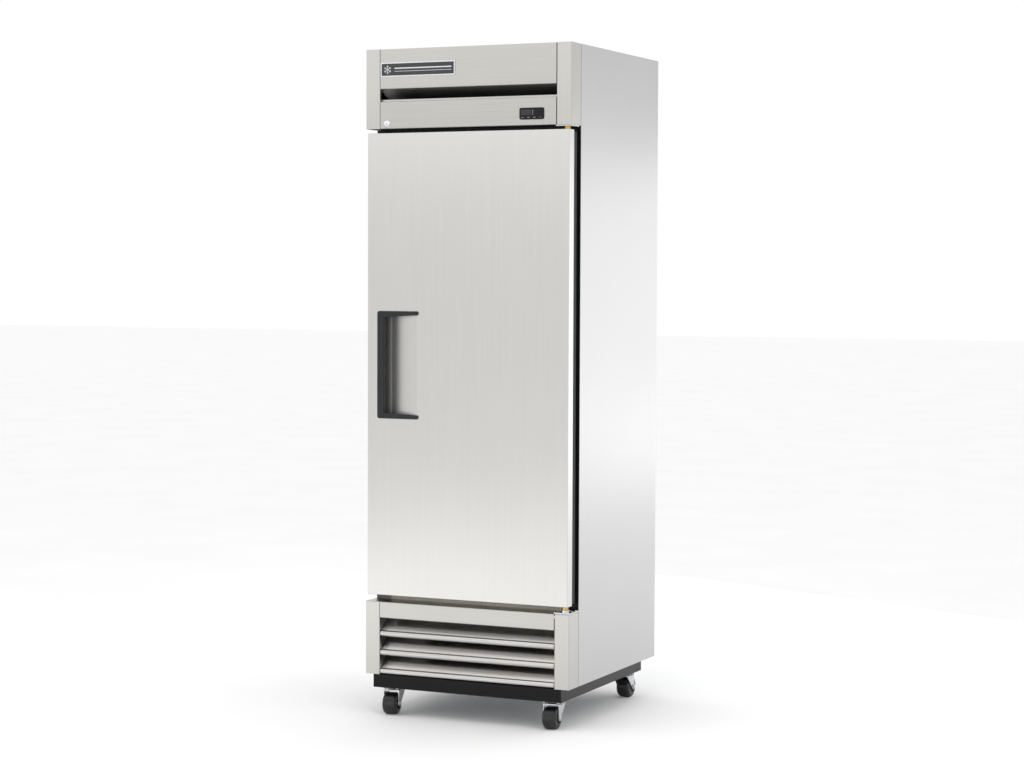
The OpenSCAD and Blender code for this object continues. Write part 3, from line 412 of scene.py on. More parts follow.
def prism(outline, axis, low, high):
    """A closed outline drawn out along an axis."""
    count = len(outline)
    verts = lifted(outline, axis, low) + lifted(outline, axis, high)
    faces = [tuple(range(count)), tuple(range(count, 2 * count))]
    faces += [(i, (i + 1) % count, (i + 1) % count + count, i + count) for i in range(count)]
    return solid("prism", verts, faces)


def turned(profile, axis, centre, steps=48):
    """A closed profile of (radius, height) turned about an axis; the ends of a solid lie on the axis."""
    verts, faces, count = [], [], len(profile)
    for k in range(steps):
        a = 2 * pi * k / steps
        for r, h in profile:
            p = {"X": (h, r * cos(a), r * sin(a)), "Y": (r * sin(a), h, r * cos(a)),
                 "Z": (r * cos(a), r * sin(a), h)}[axis]
            verts.append(tuple(Vector(centre) + Vector(p)))
        n = (k + 1) % steps
        for i in range(count):
            j = (i + 1) % count
            if profile[i][0] > 0 or profile[j][0] > 0:
                faces.append((k * count + i, k * count + j, n * count + j, n * count + i))
    bm = bmesh.new()
    made = [bm.verts.new(v) for v in verts]
    for face in faces:
        bm.faces.new([made[i] for i in face])
    bmesh.ops.dissolve_degenerate(bm, dist=1e-7, edges=bm.edges)
    return from_bmesh("turned", bm)


def rod(radius, low, high, axis, centre, steps=16):
    """A round bar between two heights along an axis."""
    return turned([(0, low), (radius, low), (radius, high), (0, high)], axis, centre, steps)


def placed(obj, matrix):
    """Moves the mesh itself, so that the object stays at the origin."""
    obj.data.transform(matrix)
    return obj


def cad_copy(*nodes):
    """Copy of CAD nodes with their triangles joined into flat faces."""
    bm = bmesh.new()
    for node in nodes:
        bm.from_mesh(NODES[node].data)
    bmesh.ops.remove_doubles(bm, verts=bm.verts, dist=1e-5)
    bmesh.ops.dissolve_limit(bm, angle_limit=radians(0.5), verts=bm.verts, edges=bm.edges)
    return from_bmesh(nodes[0], bm)


def from_cad(node, width, finish, slot, body="cabinet", steps=2):
    """A CAD node's own shape with its edges rounded."""
    return piece(softened(cad_copy(node), width, steps), node + "_finished", finish, slot, body, node)


def islands(node):
    """(low, high) corners of each separate solid of a CAD node."""
    bm = bmesh.new()
    bm.from_mesh(NODES[node].data)
    bmesh.ops.remove_doubles(bm, verts=bm.verts, dist=1e-5)
    left, boxes = set(bm.verts), []
    while left:
        stack, found = [left.pop()], []
        while stack:
            vert = stack.pop()
            found.append(vert.co.copy())
            for edge in vert.link_edges:
                other = edge.other_vert(vert)
                if other in left:
                    left.remove(other)
                    stack.append(other)
        boxes.append((Vector([min(p[k] for p in found) for k in range(3)]),
                      Vector([max(p[k] for p in found) for k in range(3)])))
    bm.free()
    return sorted(boxes, key=lambda b: tuple(round(v, 4) for v in b[0]))


# ---------------------------------------------------------------- geometry nodes

KINDS = {"int": "NodeSocketInt", "float": "NodeSocketFloat", "vector": "NodeSocketVector",
         "material": "NodeSocketMaterial", "geometry": "NodeSocketGeometry"}


def new_tree(name, **inputs):
    """Geometry tree with named inputs; returns it and the sockets of its inputs."""
    tree = bpy.data.node_groups.new(name, "GeometryNodeTree")
    for label, kind in inputs.items():
        tree.interface.new_socket(label.replace("_", " "), in_out="INPUT", socket_type=KINDS[kind])
    tree.interface.new_socket("Material", in_out="INPUT", socket_type=KINDS["material"])
    tree.interface.new_socket("Geometry", in_out="OUTPUT", socket_type=KINDS["geometry"])
    entry = tree.nodes.new("NodeGroupInput")
    return tree, {socket.name: socket for socket in entry.outputs if socket.name}


def close_tree(tree, sockets, geometry):
    """Ends a tree: real geometry instead of instances, then its material."""
    real = add(tree, "GeometryNodeRealizeInstances", {"Geometry": geometry})
    painted = add(tree, "GeometryNodeSetMaterial",
                  {"Geometry": real.outputs["Geometry"], "Material": sockets["Material"]})
    add(tree, "NodeGroupOutput", {"Geometry": painted.outputs["Geometry"]})
    return tree


def grown(tree, base, finish, **values):
    """Plain mesh that a tree makes from a base object and its input values."""
    obj = base or solid("grown", [(0, 0, 0)], [])
    mod = obj.modifiers.new("grow", "NODES")
    mod.node_group = tree
    names = {item.name: item.identifier for item in tree.interface.items_tree if item.in_out == "INPUT"}
    for label, value in {**values, "Material": finish}.items():
        mod[names[label.replace("_", " ")]] = value
    return baked(obj)


def row_tree():
    """Copies of the incoming piece, Count times, each Step further on."""
    tree, sockets = new_tree("row", Geometry="geometry", Count="int", Step="vector")
    line = add(tree, "GeometryNodeMeshLine", {"Count": sockets["Count"], "Offset": sockets["Step"]})
    row = add(tree, "GeometryNodeInstanceOnPoints",
              {"Points": line.outputs["Mesh"], "Instance": sockets["Geometry"]})
    return close_tree(tree, sockets, row.outputs["Instances"])


def wire_tree():
    """Parallel round wires: Count of them, Pitch apart along X, each Length long along Y."""
    tree, sockets = new_tree("wires", Count="int", Pitch="float", Length="float", Radius="float")
    end = add(tree, "ShaderNodeCombineXYZ", {"Y": sockets["Length"]})
    run = add(tree, "GeometryNodeCurvePrimitiveLine", {"End": end.outputs["Vector"]})
    ring = add(tree, "GeometryNodeCurvePrimitiveCircle", {"Resolution": 10, "Radius": sockets["Radius"]})
    wire = add(tree, "GeometryNodeCurveToMesh", {
        "Curve": run.outputs["Curve"], "Profile Curve": ring.outputs["Curve"], "Fill Caps": True})
    step = add(tree, "ShaderNodeCombineXYZ", {"X": sockets["Pitch"]})
    line = add(tree, "GeometryNodeMeshLine", {"Count": sockets["Count"], "Offset": step.outputs["Vector"]})
    row = add(tree, "GeometryNodeInstanceOnPoints",
              {"Points": line.outputs["Mesh"], "Instance": wire.outputs["Mesh"]})
    return close_tree(tree, sockets, row.outputs["Instances"])


def guard_tree():
    """Wire fan guard in the XY plane: Rings circles Pitch apart and Spokes straight wires."""
    tree, sockets = new_tree("guard", Rings="int", Pitch="float", Spokes="int", Wire="float")
    points = add(tree, "GeometryNodeMeshLine", {"Count": sockets["Rings"], "Offset": (0, 0, 0)})
    index = add(tree, "GeometryNodeInputIndex").outputs["Index"]
    place = add(tree, "ShaderNodeMath", {0: index, 1: 1.0}, operation="ADD").outputs["Value"]
    size = add(tree, "ShaderNodeMath", {0: place, 1: sockets["Pitch"]}, operation="MULTIPLY").outputs["Value"]
    circle = add(tree, "GeometryNodeCurvePrimitiveCircle", {"Resolution": 48, "Radius": 1.0})
    rings = add(tree, "GeometryNodeInstanceOnPoints", {
        "Points": points.outputs["Mesh"], "Instance": circle.outputs["Curve"], "Scale": size})
    reach = add(tree, "ShaderNodeMath", {0: sockets["Rings"], 1: sockets["Pitch"]}, operation="MULTIPLY")
    tip = add(tree, "ShaderNodeCombineXYZ", {"X": reach.outputs["Value"]})
    spoke = add(tree, "GeometryNodeCurvePrimitiveLine", {"End": tip.outputs["Vector"]})
    hub = add(tree, "GeometryNodeMeshLine", {"Count": sockets["Spokes"], "Offset": (0, 0, 0)})
    share = add(tree, "ShaderNodeMath", {0: 2 * pi, 1: sockets["Spokes"]}, operation="DIVIDE")
    turn = add(tree, "ShaderNodeMath", {0: index, 1: share.outputs["Value"]},
               operation="MULTIPLY").outputs["Value"]
    angle = add(tree, "ShaderNodeCombineXYZ", {"Z": turn})
    spokes = add(tree, "GeometryNodeInstanceOnPoints", {
        "Points": hub.outputs["Mesh"], "Instance": spoke.outputs["Curve"],
        "Rotation": angle.outputs["Vector"]})
    both = add(tree, "GeometryNodeJoinGeometry")
    tree.links.new(rings.outputs["Instances"], both.inputs["Geometry"])
    tree.links.new(spokes.outputs["Instances"], both.inputs["Geometry"])
    real = add(tree, "GeometryNodeRealizeInstances", {"Geometry": both.outputs["Geometry"]})
    ring = add(tree, "GeometryNodeCurvePrimitiveCircle", {"Resolution": 8, "Radius": sockets["Wire"]})
    wire = add(tree, "GeometryNodeCurveToMesh", {
        "Curve": real.outputs["Geometry"], "Profile Curve": ring.outputs["Curve"], "Fill Caps": True})
    return close_tree(tree, sockets, wire.outputs["Mesh"])


def screw_tree():
    """Cross-recess screw heads on the base object's points, facing -Y before they are turned by Turn."""
    tree, sockets = new_tree("screws", Geometry="geometry", Radius="float", Height="float", Turn="vector")
    dome = add(tree, "GeometryNodeMeshUVSphere", {"Segments": 20, "Rings": 10, "Radius": sockets["Radius"]})
    flat = add(tree, "ShaderNodeMath", {0: sockets["Height"], 1: sockets["Radius"]}, operation="DIVIDE")
    squash = add(tree, "ShaderNodeCombineXYZ", {"X": 1.0, "Y": flat.outputs["Value"], "Z": 1.0})
    head = add(tree, "GeometryNodeTransform",
               {"Geometry": dome.outputs["Mesh"], "Scale": squash.outputs["Vector"]})
    long = add(tree, "ShaderNodeMath", {0: sockets["Radius"], 1: 1.2}, operation="MULTIPLY").outputs["Value"]
    thin = add(tree, "ShaderNodeMath", {0: sockets["Radius"], 1: 0.26}, operation="MULTIPLY").outputs["Value"]
    cuts = []
    for size in ({"X": long, "Y": long, "Z": thin}, {"X": thin, "Y": long, "Z": long}):
        shape = add(tree, "ShaderNodeCombineXYZ", size)
        bar = add(tree, "GeometryNodeMeshCube", {"Size": shape.outputs["Vector"]})
        shift = add(tree, "ShaderNodeCombineXYZ", {"Y": add(
            tree, "ShaderNodeMath", {0: sockets["Radius"], 1: -0.85}, operation="MULTIPLY").outputs["Value"]})
        cuts.append(add(tree, "GeometryNodeTransform", {
            "Geometry": bar.outputs["Mesh"], "Translation": shift.outputs["Vector"]}).outputs["Geometry"])
    recess = add(tree, "GeometryNodeMeshBoolean", {"Mesh 1": head.outputs["Geometry"]},
                 operation="DIFFERENCE")
    for cut in cuts:
        tree.links.new(cut, recess.inputs["Mesh 2"])
    heads = add(tree, "GeometryNodeInstanceOnPoints", {
        "Points": sockets["Geometry"], "Instance": recess.outputs["Mesh"], "Rotation": sockets["Turn"]})
    return close_tree(tree, sockets, heads.outputs["Instances"])


ROW, WIRES, GUARD, SCREWS = row_tree(), wire_tree(), guard_tree(), screw_tree()


# ---------------------------------------------------------------- cabinet shell

def side_panels():
    for side, sign in (("left", -1), ("right", 1)):
        low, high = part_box("side_panel_" + side)
        edge = max(abs(low.x), abs(high.x))
        path = [(sign * (edge - PANEL_FLANGE), high.y), (sign * edge, high.y), (sign * edge, low.y)]
        panel = fold(path, "Z", low.z, high.z, thick=-sign * SHEET)
        piece(panel, f"side_panel_{side}_sheet", SIDE_STEEL, "stainless_steel", "cabinet",
              "side_panel_" + side)


def corner_post(node, sign, finish):
    """Folded corner piece of the header or the grille, with its lid."""
    low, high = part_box(node)
    inner, outer = sorted((abs(low.x), abs(high.x)))
    path = [(inner, low.y + POST_INNER), (inner, low.y), (outer, low.y), (outer, high.y),
            (outer - POST_REAR, high.y)]
    post = fold([(sign * x, y) for x, y in path], "Z", low.z, high.z - SHEET, thick=sign * SHEET)
    ends = sorted((sign * inner, sign * outer))
    lid = softened(block((ends[0], low.y + BEND / 2, high.z - SHEET), (ends[1], high.y, high.z)), 0.4 * MM)
    piece(merged(node, post, lid), node + "_sheet", finish, "stainless_steel", "cabinet", node)


def cam_cut(low_z, high_z):
    """Cutter for the slot that the lock's cam passes through."""
    axis = Vector(JOINTS["lock_turn"]["pos_m"])
    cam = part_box("lock_plug")[1]
    return block((axis.x - 9 * MM, cam.y - 6 * MM, low_z), (cam.x + 5 * MM, cam.y + 3 * MM, high_z))


def header():
    low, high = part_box("header_upper_panel")
    slot_top = low.z + SLOT_DROP
    path = [(high.y, high.z), (low.y, high.z), (low.y, slot_top), (low.y + SLOT_DEPTH, low.z)]
    upper = fold(path, "X", low.x, high.x)
    piece(upper, "header_upper_sheet", TRIM_STEEL, "stainless_steel", "cabinet", "header_upper_panel")

    low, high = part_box("header_lower_panel")
    slot_low = high.z - LIP_RISE
    path = [(high.y, low.z), (low.y, low.z), (low.y, slot_low), (low.y + LIP_BACK, slot_low),
            (low.y + LIP_BACK, high.z)]
    lower = fold(path, "X", low.x, high.x, thick=-SHEET)
    axis = Vector(JOINTS["lock_turn"]["pos_m"])
    slot = cam_cut(low.z - MM, low.z + 3 * MM)
    hole = rod(9 * MM, -5 * MM, 5 * MM, "Y", (axis.x, low.y, axis.z), 48)
    piece(carved(lower, slot, hole), "header_lower_sheet", TRIM_STEEL, "stainless_steel", "cabinet",
          "header_lower_panel")
    corner_post("header_end_cap_left", -1, POST_STEEL)
    corner_post("header_end_cap_right", 1, POST_STEEL)


def badge():
    """Plain badge: a bright raised frame round a dark plate with a frost star and two pinstripes."""
    low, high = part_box("badge_plate")
    rim = 4 * MM
    outline = [(low.x, low.z), (high.x, low.z), (high.x, high.z), (low.x, high.z)]
    opening = [(low.x + rim, low.z + rim), (high.x - rim, low.z + rim),
               (high.x - rim, high.z - rim), (low.x + rim, high.z - rim)]
    hole = prism(rounded(opening, 1.5 * MM, True), "Y", low.y - MM, high.y + MM)
    edge = carved(prism(rounded(outline, 3 * MM, True), "Y", low.y, high.y), hole)
    piece(softened(edge, 0.5 * MM), "badge_frame", ZINC, "badge_enamel", "cabinet", "badge_plate")
    plate = block((low.x + rim, low.y + 0.9 * MM, low.z + rim), (high.x - rim, high.y, high.z - rim))
    piece(plate, "badge_ground", PLATE_ENAMEL, "badge_enamel", "cabinet")
    face = low.y + 0.9 * MM
    centre = (low.x + 24 * MM, (low.z + high.z) / 2)
    arms = []
    for k in range(6):
        turn = Matrix.Translation((centre[0], 0, centre[1])) @ Matrix.Rotation(k * pi / 3, 4, "Y")
        shaft = block((-0.6 * MM, face - 0.5 * MM, 0), (0.6 * MM, face + 0.2 * MM, 13 * MM))
        arms.append(placed(shaft, turn))
        for lean in (-1, 1):
            twig = block((-0.5 * MM, face - 0.45 * MM, 0), (0.5 * MM, face + 0.2 * MM, 4.5 * MM))
            fork = Matrix.Translation((0, 0, 7.5 * MM)) @ Matrix.Rotation(lean * pi / 4, 4, "Y")
            arms.append(placed(twig, turn @ fork))
    piece(merged("star", *arms), "badge_star", PALE_INK, "badge_enamel", "cabinet")
    left, right = low.x + 48 * MM, high.x - 12 * MM
    stripes = [block((left, face - 0.4 * MM, centre[1] + z), (right, face + 0.2 * MM, centre[1] + z + w))
               for z, w in ((-6 * MM, 1.2 * MM), (2 * MM, 3.4 * MM))]
    piece(merged("stripes", *stripes), "badge_stripes", ZINC, "badge_enamel", "cabinet")


def controller():
    low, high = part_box("controller_bezel")
    front_y = low.y
    panel_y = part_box("header_lower_panel")[0].y
    outline = rounded([(low.x, low.z), (high.x, low.z), (high.x, high.z), (low.x, high.z)], 6 * MM, True, 6)
    bezel = softened(prism(outline, "Y", front_y, panel_y), 1.2 * MM, 3, 60)
    cuts = []
    for i in range(4):
        b_low, b_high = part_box(f"button_{i + 1}")
        gap = 0.4 * MM
        cuts.append(block((b_low.x - gap, front_y - 5 * MM, b_low.z - gap),
                          (b_high.x + gap, panel_y - 0.3 * MM, b_high.z + gap)))
    w_low, w_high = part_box("controller_display")
    cuts.append(block((w_low.x, front_y - MM, w_low.z), (w_high.x, front_y + MM, w_high.z)))
    piece(carved(bezel, *cuts), "controller_case", BLACK_ABS, "black_abs", "cabinet", "controller_bezel",
          angle=50)
    glass = softened(block((w_low.x, w_low.y - 0.1 * MM, w_low.z), (w_high.x, w_high.y, w_high.z)), 0.25 * MM)
    piece(glass, "controller_window", ACRYLIC, "display_window", "cabinet", "controller_display")
    marks = grown(ROW, block((w_high.x + 4 * MM, front_y - 0.15 * MM, w_low.z + 2 * MM),
                             (w_high.x + 6 * MM, front_y + 0.3 * MM, w_low.z + 3 * MM)),
                  PALE_INK, Count=4, Step=(0, 0, 3.8 * MM))
    piece(marks, "controller_marks", PALE_INK, "black_abs", "cabinet")
    for i in range(4):
        b_low, b_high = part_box(f"button_{i + 1}")
        cap = softened(block(b_low, b_high), 0.7 * MM, 3)
        piece(cap, f"button_{i + 1}_cap", GREY_ABS, "black_abs", f"button_{i + 1}", f"button_{i + 1}")
        middle = (b_low + b_high) / 2
        ink = RED_LENS if i == 3 else PALE_INK
        half = 1.2 * MM
        bars = grown(ROW, block((middle.x - 2 * half, b_low.y - 0.12 * MM, middle.z - 0.7 * MM),
                                (middle.x - half, b_low.y + 0.3 * MM, middle.z + 0.7 * MM)),
                     ink, Count=2, Step=(3 * half, 0, 0))
        piece(bars, f"button_{i + 1}_print", ink, "black_abs", f"button_{i + 1}")


def lock():
    axis = Vector(JOINTS["lock_turn"]["pos_m"])
    low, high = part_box("lock_barrel")
    front, radius = low.y, (high.z - low.z) / 2
    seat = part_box("header_lower_panel")[0].y
    hole = 6.05 * MM
    profile = [(hole, high.y), (hole, front + 0.6 * MM), (radius - 5.5 * MM, front), (radius - 3 * MM, front),
               (radius - 1.2 * MM, front + 0.5 * MM), (radius, seat - 0.5 * MM), (radius, seat),
               (radius - 2 * MM, seat), (radius - 2 * MM, high.y)]
    barrel = turned(profile, "Y", (axis.x, 0, axis.z), 64)
    piece(barrel, "lock_ring", CHROME, "zinc_plate", "cabinet", "lock_barrel")
    from_cad("lock_plug", 0.3 * MM, CHROME, "zinc_plate", "lock_plug")


# ---------------------------------------------------------------- grille and base

def louvre_path(low_y, pitch):
    """Round lip, a short flat, then a blade that slopes up and back behind the next one."""
    lip = arc((LOUVRE_LIP, LOUVRE_LIP), LOUVRE_LIP, radians(270), pi / 2, 12)
    back = lip[-1][0] + LOUVRE_FLAT
    rise = pitch - lip[-1][1] + 2 * MM
    path = [(2 * LOUVRE_LIP, 0)] + lip
    path += [(back, lip[-1][1]), (back + rise / tan(LOUVRE_SLOPE), lip[-1][1] + rise)]
    return [(low_y + y, z) for y, z in path]


def grille():
    low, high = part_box("grille_top_rail")
    path = [(high.y, high.z), (low.y, high.z), (low.y, low.z), (low.y + RAIL_HEM, low.z)]
    piece(fold(path, "X", low.x, high.x), "grille_rail_sheet", TRIM_STEEL, "stainless_steel", "cabinet",
          "grille_top_rail")
    corner_post("grille_post_left", -1, POST_STEEL)
    corner_post("grille_post_right", 1, POST_STEEL)
    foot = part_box("grille_louvres")[0]
    pitch = (low.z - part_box("grille_post_left")[0].z) / LOUVRE_COUNT
    path = [(y, z + foot.z) for y, z in louvre_path(foot.y, pitch)]
    blade = fold(path, "X", low.x, high.x, radius=0, thick=-SHEET)
    rows = grown(ROW, blade, BLADE_STEEL, Count=LOUVRE_COUNT, Step=(0, 0, pitch))
    piece(rows, "grille_blades", BLADE_STEEL, "stainless_steel", "cabinet", "grille_louvres")
    tab = [path[0]] + path[2:]
    tab += [(path[-1][0], path[-1][1] - 12 * MM), (path[0][0] + 6 * MM, path[0][1] + 4 * MM)]
    tabs = []
    for x in (low.x + 0.2 * MM, high.x - 1.2 * MM):
        plate = prism(tab, "X", x, x + MM)
        tabs.append(grown(ROW, plate, POST_STEEL, Count=LOUVRE_COUNT, Step=(0, 0, pitch)))
    piece(merged("tabs", *tabs), "grille_blade_ends", POST_STEEL, "stainless_steel", "cabinet")


def base():
    from_cad("base_rails", 0.5 * MM, BLACK_ENAMEL, "painted_black_steel")
    from_cad("hinge_brackets", 0.6 * MM, ZINC, "zinc_plate")


def cabinet_face():
    """Strips round the cabinet's opening, behind the gasket: the jambs and head black as painted shade for
    the dark gap under the header and behind the gasket, over a pale sill.
    """
    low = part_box("breaker_frame")[0]
    dark, sill = [], []
    for start, end in islands("breaker_frame"):
        strip = softened(block(start, end), 0.4 * MM)
        wide = end.x - start.x > end.z - start.z
        # Every strip but the sill goes black: painted shade standing in for the dark gap under the header and
        # behind the gasket.
        (sill if wide and start.z < low.z + MM else dark).append(strip)
    piece(merged("jambs", *dark), "cabinet_jambs_black_for_shade", BLACK_ABS, "black_abs", "cabinet", "breaker_frame")
    piece(merged("sill", *sill), "cabinet_sill", PVC, "beige_pvc", "cabinet")


# ---------------------------------------------------------------- door

def pocket_sizes():
    """Left edge, end of the flat floor, right edge, bottom and top of the handle's pocket."""
    low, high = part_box("door_handle")
    left = low.x + POCKET_WALL
    deep = low.x + GRIP_WIDTH + POCKET_FLAT
    return left, deep, high.x - POCKET_WALL, low.z + POCKET_EDGE, high.z - POCKET_EDGE


def door_pan():
    """Pressed pan: a flat front with the pocket sunk into it, four sides and a narrow return at the back."""
    low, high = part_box("door_skin")
    left, deep, right, bottom, top = pocket_sizes()
    floor_y = low.y + POCKET_DEPTH
    flange = 8 * MM
    bm = bmesh.new()
    xs, zs = [low.x, left, deep, right, high.x], [low.z, bottom, top, high.z]
    front = {(i, j): bm.verts.new((x, low.y, z)) for i, x in enumerate(xs) for j, z in enumerate(zs)}
    for i in range(4):
        for j in range(3):
            if not (j == 1 and i in (1, 2)):
                bm.faces.new([front[i, j], front[i + 1, j], front[i + 1, j + 1], front[i, j + 1]])
    sunk = {(i, j): bm.verts.new((xs[i], floor_y, zs[j])) for i in (1, 2) for j in (1, 2)}
    bm.faces.new([front[1, 1], front[1, 2], sunk[1, 2], sunk[1, 1]])
    bm.faces.new([sunk[1, 1], sunk[1, 2], sunk[2, 2], sunk[2, 1]])
    bm.faces.new([sunk[2, 1], sunk[2, 2], front[3, 2], front[3, 1]])
    for j in (1, 2):
        bm.faces.new([front[1, j], sunk[1, j], sunk[2, j], front[2, j]])
        bm.faces.new([front[2, j], sunk[2, j], front[3, j]])
    edge = [(i, 0) for i in range(5)] + [(4, 1), (4, 2), (4, 3)]
    edge += [(i, 3) for i in (3, 2, 1, 0)] + [(0, 2), (0, 1)]
    rear = {key: bm.verts.new((xs[key[0]], high.y, zs[key[1]])) for key in edge}
    for a, b in zip(edge, edge[1:] + edge[:1]):
        bm.faces.new([front[a], front[b], rear[b], rear[a]])
    turned_in = {}
    for key in edge:
        x = min(max(xs[key[0]], low.x + flange), high.x - flange)
        z = min(max(zs[key[1]], low.z + flange), high.z - flange)
        turned_in[key] = bm.verts.new((x, high.y, z))
    for a, b in zip(edge, edge[1:] + edge[:1]):
        bm.faces.new([rear[a], rear[b], turned_in[b], turned_in[a]])
    bmesh.ops.recalc_face_normals(bm, faces=bm.faces)
    bm.normal_update()
    middle = front[2, 0].link_faces[0]
    if middle.normal.y > 0:
        bmesh.ops.reverse_faces(bm, faces=bm.faces)
    sunk_verts = set(sunk.values()) | {front[i, j] for i in (1, 2, 3) for j in (1, 2)}
    inner = [e for e in bm.edges if set(e.verts) <= sunk_verts and len(e.link_faces) == 2
             and e.calc_face_angle(0) > radians(5)]
    bevel = {"segments": 4, "profile": 0.5, "affect": "EDGES", "clamp_overlap": True}
    bmesh.ops.bevel(bm, geom=inner, offset=BEND, **bevel)
    outer = [e for e in bm.edges if len(e.link_faces) == 2 and e.calc_face_angle(0) > radians(60)
             and all(v.co.y < low.y + 1e-6 or v.co.y > high.y - 1e-6 for v in e.verts)
             and not all(v.co.y > high.y - 1e-6 for v in e.verts)
             and (all(abs(v.co.x) > high.x - 1e-6 for v in e.verts)
                  or all(v.co.z < low.z + 1e-6 or v.co.z > high.z - 1e-6 for v in e.verts))]
    bmesh.ops.bevel(bm, geom=outer, offset=2.0 * MM, **bevel)
    mesh = bpy.data.meshes.new("pan")
    bm.to_mesh(mesh)
    bm.free()
    pan = bpy.data.objects.new("pan", mesh)
    bpy.context.scene.collection.objects.link(pan)
    shell = pan.modifiers.new("sheet", "SOLIDIFY")
    shell.thickness = SHEET
    shell.offset = -1.0
    shell.use_even_offset = True
    baked(pan)
    bush_low, bush_high = islands("hinge_bushes")[0]
    x, y = (bush_low.x + bush_high.x) / 2, (bush_low.y + bush_high.y) / 2
    radius = (bush_high.x - bush_low.x) / 2
    bores = [rod(radius, z - 4 * MM, z + 4 * MM, "Z", (x, y, 0), 40) for z in (low.z, high.z)]
    carved(pan, *bores, cam_cut(high.z - 4 * MM, high.z + 4 * MM))
    piece(pan, "door_pan", DOOR_STEEL, "stainless_steel", "door", "door_skin")


def rim_sweep(profile, low, high):
    """A closed profile of (inset, y) swept round a door-sized rectangle with mitred corners."""
    verts, faces, count = [], [], len(profile)
    for sx, sz in ((-1, -1), (1, -1), (1, 1), (-1, 1)):
        for inset, y in profile:
            x = high.x - inset if sx > 0 else low.x + inset
            z = high.z - inset if sz > 0 else low.z + inset
            verts.append((x, y, z))
    for k in range(4):
        n = (k + 1) % 4
        for i in range(count):
            j = (i + 1) % count
            faces.append((k * count + i, k * count + j, n * count + j, n * count + i))
    return solid("rim", verts, faces)


def gasket():
    """Bellows gasket: a retainer strip, two soft folds and the magnet bead that meets the cabinet."""
    low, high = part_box("door_gasket")
    w, y0, y1 = GASKET_WIDTH, low.y, high.y
    retainer = [(0, y0), (w, y0), (w, y0 + 7 * MM), (0, y0 + 7 * MM)]
    strip = softened(rim_sweep(retainer, low, high), 0.8 * MM)
    outer = [(2.5, 7), (0.8, 11), (0.2, 15), (1.6, 19), (4.6, 21), (2.2, 23), (0.6, 26), (0.2, 30),
             (0.4, 34), (1.6, 36)]
    side = [(a * MM, y0 + b * MM) for a, b in outer] + [(3 * MM, y1)]
    fold_path = side + [(w - a, b) for a, b in reversed(side)]
    bellows = rim_sweep(fold_path, low, high)
    piece(merged("gasket", strip, bellows), "door_gasket_bellows", VINYL, "gasket_vinyl", "door",
          "door_gasket", angle=60)


def handle():
    """Recessed pull: a bracket on the door's face with a rounded grip behind its upright."""
    low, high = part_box("door_handle")
    x0, x1, z0, z1 = low.x, high.x, low.z, high.z
    grip_x = x0 + GRIP_WIDTH
    outline = [(x0, z0), (x1, z0), (x1, z0 + ARM_TIP), (grip_x, z0 + ARM_ROOT),
               (grip_x, z1 - ARM_ROOT), (x1, z1 - ARM_TIP), (x1, z1), (x0, z1)]
    radii = [7 * MM, 5.5 * MM, 5.5 * MM, 4 * MM, 4 * MM, 5.5 * MM, 5.5 * MM, 7 * MM]
    front = prism(rounded(outline, radii, True, 6), "Y", low.y, low.y + HANDLE_PROUD)
    softened(front, 1.9 * MM, 5, 50)
    grip = block((x0 + POCKET_WALL, low.y + HANDLE_PROUD - 0.5 * MM, z0 + POCKET_EDGE),
                 (grip_x - 0.6 * MM, high.y, z1 - POCKET_EDGE))
    softened(grip, 4 * MM, 5)
    joined = front.modifiers.new("join", "BOOLEAN")
    joined.operation = "UNION"
    joined.solver = "EXACT"
    joined.object = grip
    baked(front)
    bpy.data.objects.remove(grip)
    piece(front, "door_handle_moulding", CHARCOAL_ABS, "black_abs", "door", "door_handle", angle=50)


def door():
    door_pan()
    gasket()
    handle()
    low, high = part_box("door_liner")
    panel = softened(block(low, high), 4 * MM, 4)
    piece(panel, "door_inner_panel", STUCCO, "aluminium", "door", "door_liner")
    from_cad("hinge_bushes", 0.4 * MM, BRASS, "brass", "door")


# ---------------------------------------------------------------- casters

def caster_leg():
    """Side view of a fork leg, as (y, z): wide at the plate and round at the axle."""
    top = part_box("caster_fork_front_left")[1].z
    boss = 9 * MM
    low = arc((-TRAIL, WHEEL_R), boss, radians(165), radians(345), 10)
    shoulder = [(FORK_HALF, top), (-FORK_HALF, top), (-FORK_HALF, top - 5 * MM)]
    return shoulder + low + [(FORK_HALF - 3 * MM, top - 7 * MM)]


def fork(turn):
    """Pressed fork: crown with the king pin's hole, two legs, the axle and a nut and washer on each side."""
    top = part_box("caster_fork_front_left")[1].z
    outer, hub = FORK_OUTER, (0, -TRAIL, WHEEL_R)
    parts = [softened(prism(caster_leg(), "X", x, x + FORK_T), 0.7 * MM) for x in (-outer, LEG_X)]
    corners = [(-outer, -FORK_HALF), (outer, -FORK_HALF), (outer, FORK_HALF), (-outer, FORK_HALF)]
    crown = prism(rounded(corners, 3 * MM, True), "Z", top - 4 * MM, top)
    hole = rod(6 * MM + RUN_GAP, top - 9 * MM, top + MM, "Z", (0, 0, 0), 32)
    parts.append(softened(carved(crown, hole), 0.6 * MM, 2, 50))
    seat = outer + 0.8 * MM
    washer = [(0, outer), (9 * MM, outer), (9 * MM, seat), (0, seat)]
    nut = [(0, seat), (6.6 * MM, seat), (6.6 * MM, outer + 3.6 * MM), (5.6 * MM, outer + 4.2 * MM),
           (0, outer + 4.2 * MM)]
    for sign in (-1, 1):
        for ring, sides in ((washer, 32), (nut, 6)):
            parts.append(turned([(r, sign * h) for r, h in ring], "X", hub, sides))
    parts.append(rod(AXLE_R, -outer, outer, "X", hub, 32))
    return placed(merged("fork", *parts), turn)


def caster_race(swivel, top):
    """Pressed bearing race between the plate and the fork."""
    profile = [(6.5, 1.2), (15, 1), (20, 2.4), (20, 5.6), (18.5, 7), (6.5, 7)]
    return turned([(r * MM, top + h * MM) for r, h in profile], "Z", (swivel.x, swivel.y, 0), 48)


